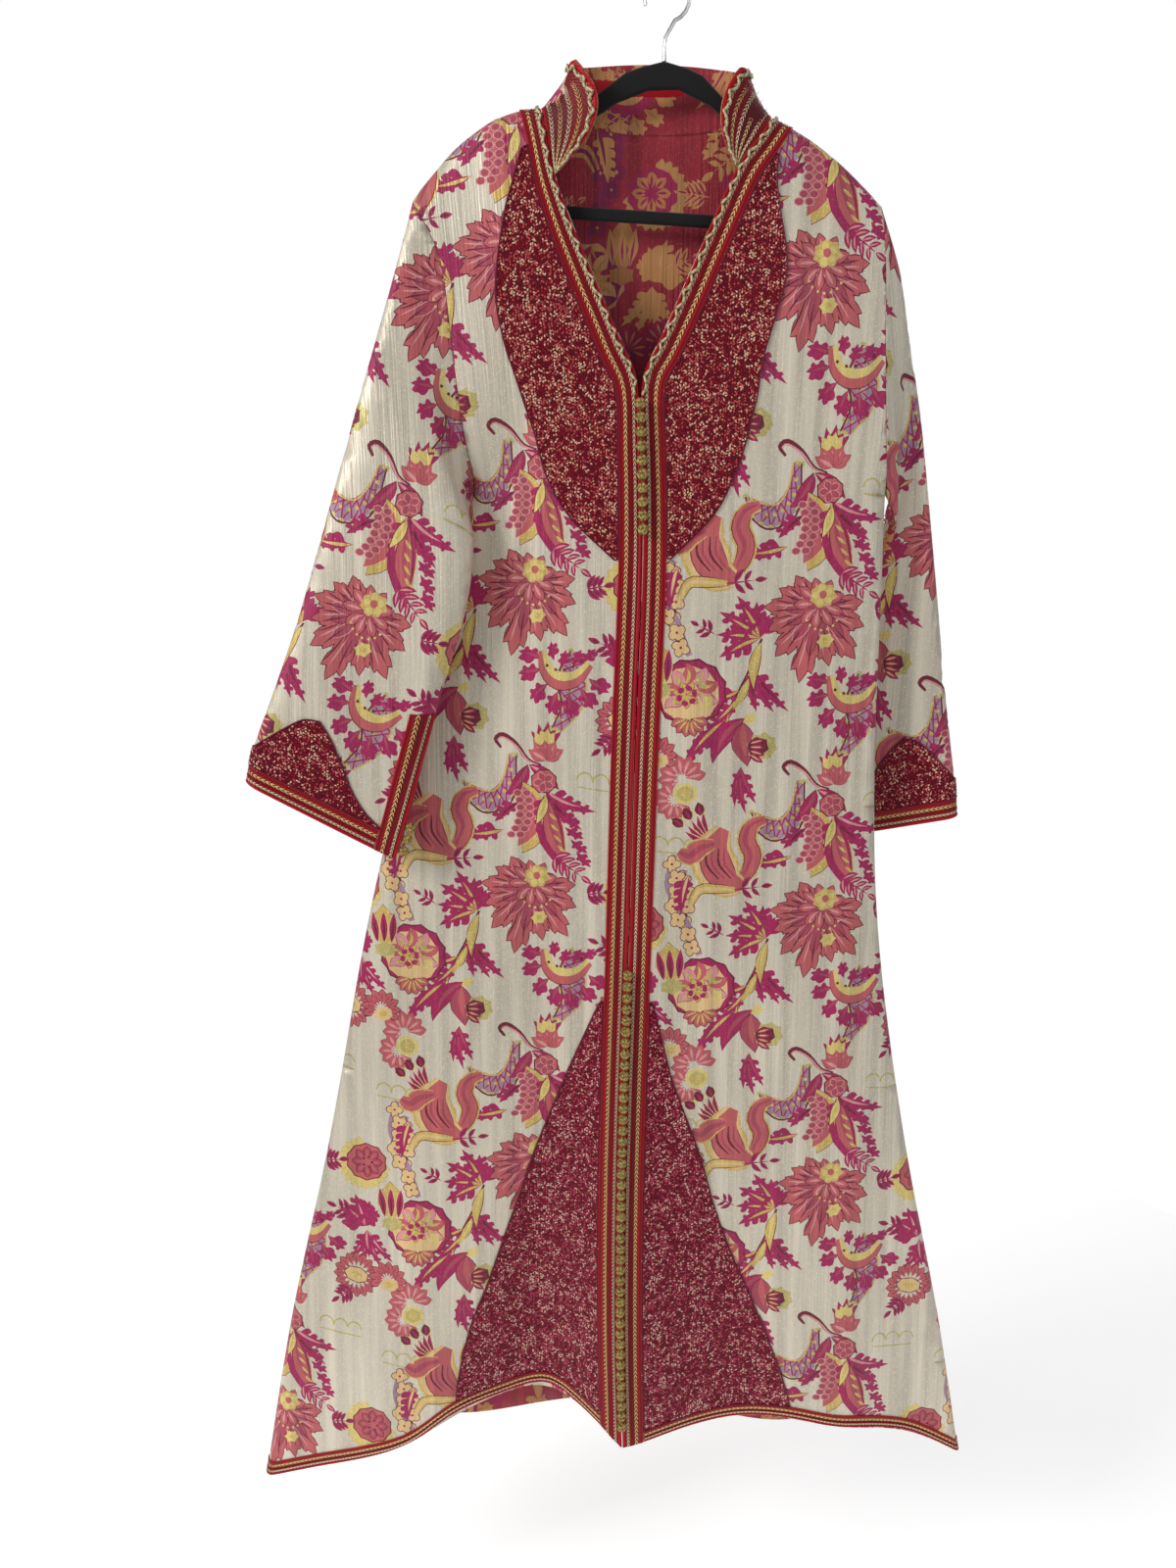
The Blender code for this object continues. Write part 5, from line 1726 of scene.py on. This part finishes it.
def glitter_field(name, source, cloth, toward=FRONT):
    ring = [complex(*cloth.flat_of(place)) for place in rim_of(source, toward, 0.0010)]
    if (np.conj(ring) * np.roll(ring, -1)).imag.sum() < 0:
        ring = ring[::-1]
    outline = rounded_outline(ring)
    low, high = (outline.real.min(), outline.imag.min()), (outline.real.max(), outline.imag.max())
    places = [Vector((z.real, z.imag)) for z in outline]
    for x in np.arange(low[0], high[0], 0.008):
        for y in np.arange(low[1], high[1], 0.008):
            places.append(Vector((x, y)))
    rim = list(range(len(outline)))
    verts, _, faces, _, _, origins = delaunay_2d_cdt(places, [], [rim], 0, 2e-5)
    faces = [face for face, origin in zip(faces, origins) if origin]
    used = sorted(set(i for face in faces for i in face))
    number = {old: new for new, old in enumerate(used)}
    faces = [[number[i] for i in face] for face in faces]
    heap = Heap()
    laid = [cloth.at(*verts[i]) for i in used]
    top = np.array([place + normal * 0.0010 for place, normal in laid])
    bottom = np.array([place + normal * 0.0002 for place, normal in laid])
    count = len(used)
    once = {}
    for face in faces:
        for a, b in zip(face, face[1:] + face[:1]):
            once[(a, b)] = True
    rim_edges = [(a, b) for a, b in once if (b, a) not in once]
    whole = faces + [[count + i for i in reversed(face)] for face in faces]
    whole += [[b, a, count + a, count + b] for a, b in rim_edges]
    heap.add(np.concatenate([top, bottom]), whole, [SATIN] * len(whole), [0.1] * len(whole))

    inside = BVHTree.FromPolygons([Vector((*verts[i], 0)) for i in used], faces)
    dice = random.Random(source)
    noise.seed_set(MEANDER_SEED)
    deep, rosy, cream, gold = BEAD_TINTS[source.split("_")[1]]
    spots, tints, metals, longs = [], [], [], []
    pitch = 0.00262
    for i, x in enumerate(np.arange(low[0], high[0], pitch)):
        for y in np.arange(low[1], high[1], pitch):
            s = x + dice.uniform(-0.0008, 0.0008)
            t = y + (i % 2) * pitch / 2 + dice.uniform(-0.0008, 0.0008)
            hit = inside.find_nearest(Vector((s, t, 0)))
            if hit[3] > 0.0004:
                continue
            bend = Vector((s * 95, t * 95, 3.1))
            line = noise.noise(bend + noise.noise_vector(bend * 0.6) * 1.6)
            chance = dice.random()
            if abs(line) < 0.17:
                tint, metal, long = (cream if chance < 0.45 else rosy), 0.05, 0.0034
            # Painted glint: a few pale gold beads, part metal, their light colour standing for glints of
            # light.
            elif chance < 0.05:
                tint, metal, long = gold, 0.3, 0.0022
            elif chance < 0.34:
                tint, metal, long = rosy, 0.05, 0.0026
            else:
                tint, metal, long = (deep if chance < 0.74 else SATIN), 0.1, 0.0028
            spots.append((s, t))
            tints.append(tint)
            metals.append(metal)
            longs.append(long)
    placed_on = [cloth.at(s, t, 0.0013) for s, t in spots]
    ways = np.array(
        [(dice.uniform(-1, 1), dice.uniform(-0.3, 0.3), dice.uniform(-1, 1)) for _ in spots]
    )
    points = np.array([p for p, _ in placed_on])
    normals = np.array([n for _, n in placed_on])
    heap.grains(points, ways, normals, np.array(longs), 0.0019, 0.0014, tints, metals)
    edge = [cloth.at(z.real, z.imag, 0.0012)[0] for z in outline]
    tube(heap, edge, 0.0010, [EDGE_CORD], 6, 0.05, closed=True)
    piece = heap.made(name, BEADS)
    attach(piece, "root")
    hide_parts(source)
    print(f"{name}: {len(spots)} beads, {len(piece.data.polygons)} faces")
    return piece


for side in ("right", "left"):
    for part, under in (
        ("chest", f"front_{side}"), ("skirt", f"front_{side}"), ("cuff", f"sleeve_{side}")
    ):
        piece = glitter_field(f"glitter_{part}_{side}", f"panel_{part}_{side}", cloths[under])
        sewn_on[under].append(piece)

# %% [markdown]
# ## Knotted buttons
# Aakad are balls knotted from silk cord. One is made from rings of cord turned about a core, so
# that the strands cross as in a Turk's head knot; the core is dark and paints the shade between
# the strands. It is copied to every place where the CAD has a button. The skirt's buttons sit
# touching on one cord.


# %% One button, then all
def knot(heap, centre, diameter, turn):
    """A ball of six crossing rings over a dark core that paints the shade between the strands."""
    centre = np.array(centre)
    for i in range(6):
        lean = math.radians(52 if i % 2 else 76)
        spin = math.radians(60 * i) + turn
        axis = np.array(
            (math.sin(lean) * math.cos(spin), -math.cos(lean), math.sin(lean) * math.sin(spin))
        )
        side = np.cross(axis, (0.3, 0.2, 0.93))
        side /= np.linalg.norm(side)
        other = np.cross(axis, side)
        around = np.linspace(0, 2 * math.pi, 14, endpoint=False)
        wave = 0.36 + 0.022 * np.cos(3 * around + i)
        ring = centre + diameter * wave[:, None] * (
            np.cos(around)[:, None] * side + np.sin(around)[:, None] * other
        )
        tube(heap, ring, diameter * 0.115, [KNOT, KNOT, KNOT_DIM], 5, 0.35, closed=True)
    # Painted shade: the dark core shows through the gaps between the rings, where the knot's inside lies in
    # shade.
    core = [
        (centre + diameter * 0.36 * np.array(p))
        for p in ((1, 0, 0), (-1, 0, 0), (0, 1, 0), (0, -1, 0), (0, 0, 1), (0, 0, -1))
    ]
    heap.add(np.array(core), LOZENGE, [KNOT_PAINTED_SHADE] * 8, [0.1] * 8)


# The last colour is the core's, a painted shade between the strands.
KNOT, KNOT_DIM, KNOT_PAINTED_SHADE = (196, 174, 104), (120, 92, 40), (52, 34, 14)


def middle_and_size(source):
    points = np.array([vertex.co for vertex in nodes[source].data.vertices])
    return (points.min(0) + points.max(0)) / 2, (points.max(0) - points.min(0)).max()


def buttons(name, sources, spots, under):
    heap = Heap()
    for i, (centre, diameter) in enumerate(spots):
        knot(heap, centre, diameter, 0.5 * i)
    if len(spots) > 3:
        line = [centre for centre, _ in spots]
        tube(
            heap, np.array([line[0] + (0, 0, 0.004)] + line + [line[-1] - (0, 0, 0.004)]), 0.0016,
            [KNOT_DIM], 6
        )
    piece = heap.made(name, KNOTS, True)
    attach(piece, "root")
    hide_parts(*sources)
    sewn_on[under].append(piece)
    print(f"{name}: {len(spots)} buttons, {len(piece.data.polygons)} faces")


chest = [f"button_chest_{i:02d}" for i in range(1, 11)]
buttons("knots_chest", chest, [middle_and_size(source) for source in chest], "front_right")
for side in ("right", "left"):
    cuff = [f"button_cuff_{side}_{i}" for i in (1, 2, 3)]
    buttons(
        f"knots_cuff_{side}", cuff, [middle_and_size(source) for source in cuff], f"sleeve_{side}"
    )
SKIRT_BUTTON, SKIRT_BUTTONS, SKIRT_TOP, SKIRT_END = 0.0120, 43, -0.965, -1.500
row_points = np.array([vertex.co for vertex in nodes["buttons_skirt"].data.vertices])
spots = []
for height in np.linspace(SKIRT_TOP, SKIRT_END, SKIRT_BUTTONS):
    near = row_points[abs(row_points[:, 2] - height) < 0.005]
    spots.append((
        np.array((
            (near[:, 0].min() + near[:, 0].max()) / 2,
            (near[:, 1].min() + near[:, 1].max()) / 2,
            height,
        )),
        SKIRT_BUTTON,
    ))
buttons("knots_skirt", ["buttons_skirt"], spots, "front_right")

# %% [markdown]
# ## Hanger and hook
# The hanger is flocked plastic: a thin black body with rounded edges and a dull sheen. Its hook
# is bright steel wire. Both keep the CAD's shape; a bevel rounds the body's edges.

# %% Hanger and hook
VELVET, tree, shader = material(
    "black flock", (9, 9, 10), 0.95, Sheen_Weight=0.12, Sheen_Roughness=0.5
)
place = node(tree, "ShaderNodeTexCoord").outputs["Object"]
flock = node(tree, "ShaderNodeTexNoise", {"Vector": place, "Scale": 1800.0, "Detail": 2.0})
bumped(tree, shader, flock.outputs["Fac"], 0.0003, 0.8)
STEEL, tree, shader = material("hook steel", (200, 200, 204), 0.22, 1.0)
place = node(tree, "ShaderNodeTexCoord").outputs["Object"]
worn = node(tree, "ShaderNodeTexNoise", {"Vector": place, "Scale": 260.0})
rough = node(tree, "ShaderNodeMapRange", {0: worn.outputs["Fac"], 1: 0.3, 2: 0.7, 3: 0.16, 4: 0.32})
tree.links.new(rough.outputs[0], shader.inputs["Roughness"])

for source, finish, label, bevel in (
    ("hanger_body", VELVET, "velvet", 0.0012), ("hanger_hook", STEEL, "hook", 0)
):
    alone()
    piece = bpy.data.objects.new(source + "_seen", nodes[source].data.copy())
    piece.data.materials.clear()
    piece.data.materials.append(finish)
    bpy.context.scene.collection.objects.link(piece)
    piece.select_set(True)
    bpy.context.view_layer.objects.active = piece
    bpy.ops.object.mode_set(mode="EDIT")
    bpy.ops.mesh.select_all(action="SELECT")
    bpy.ops.mesh.remove_doubles(threshold=0.00002)
    bpy.ops.mesh.tris_convert_to_quads()
    bpy.ops.object.mode_set(mode="OBJECT")
    if bevel:
        rounder = piece.modifiers.new("edges", "BEVEL")
        rounder.width, rounder.segments, rounder.limit_method = bevel, 3, "ANGLE"
        bpy.ops.object.modifier_apply(modifier=rounder.name)
    bpy.ops.object.shade_smooth_by_angle(angle=math.radians(40))
    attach(piece, "root")
    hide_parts(source)
    print(f"{source}: {len(piece.data.polygons)} faces")

# %% [markdown]
# Each piece of brocade is a sheet of cloth that hangs from the hanger; the loop below only
# looks up the cloth of each piece.

for name, piece in brocades.items():
    cloth = cloths[name]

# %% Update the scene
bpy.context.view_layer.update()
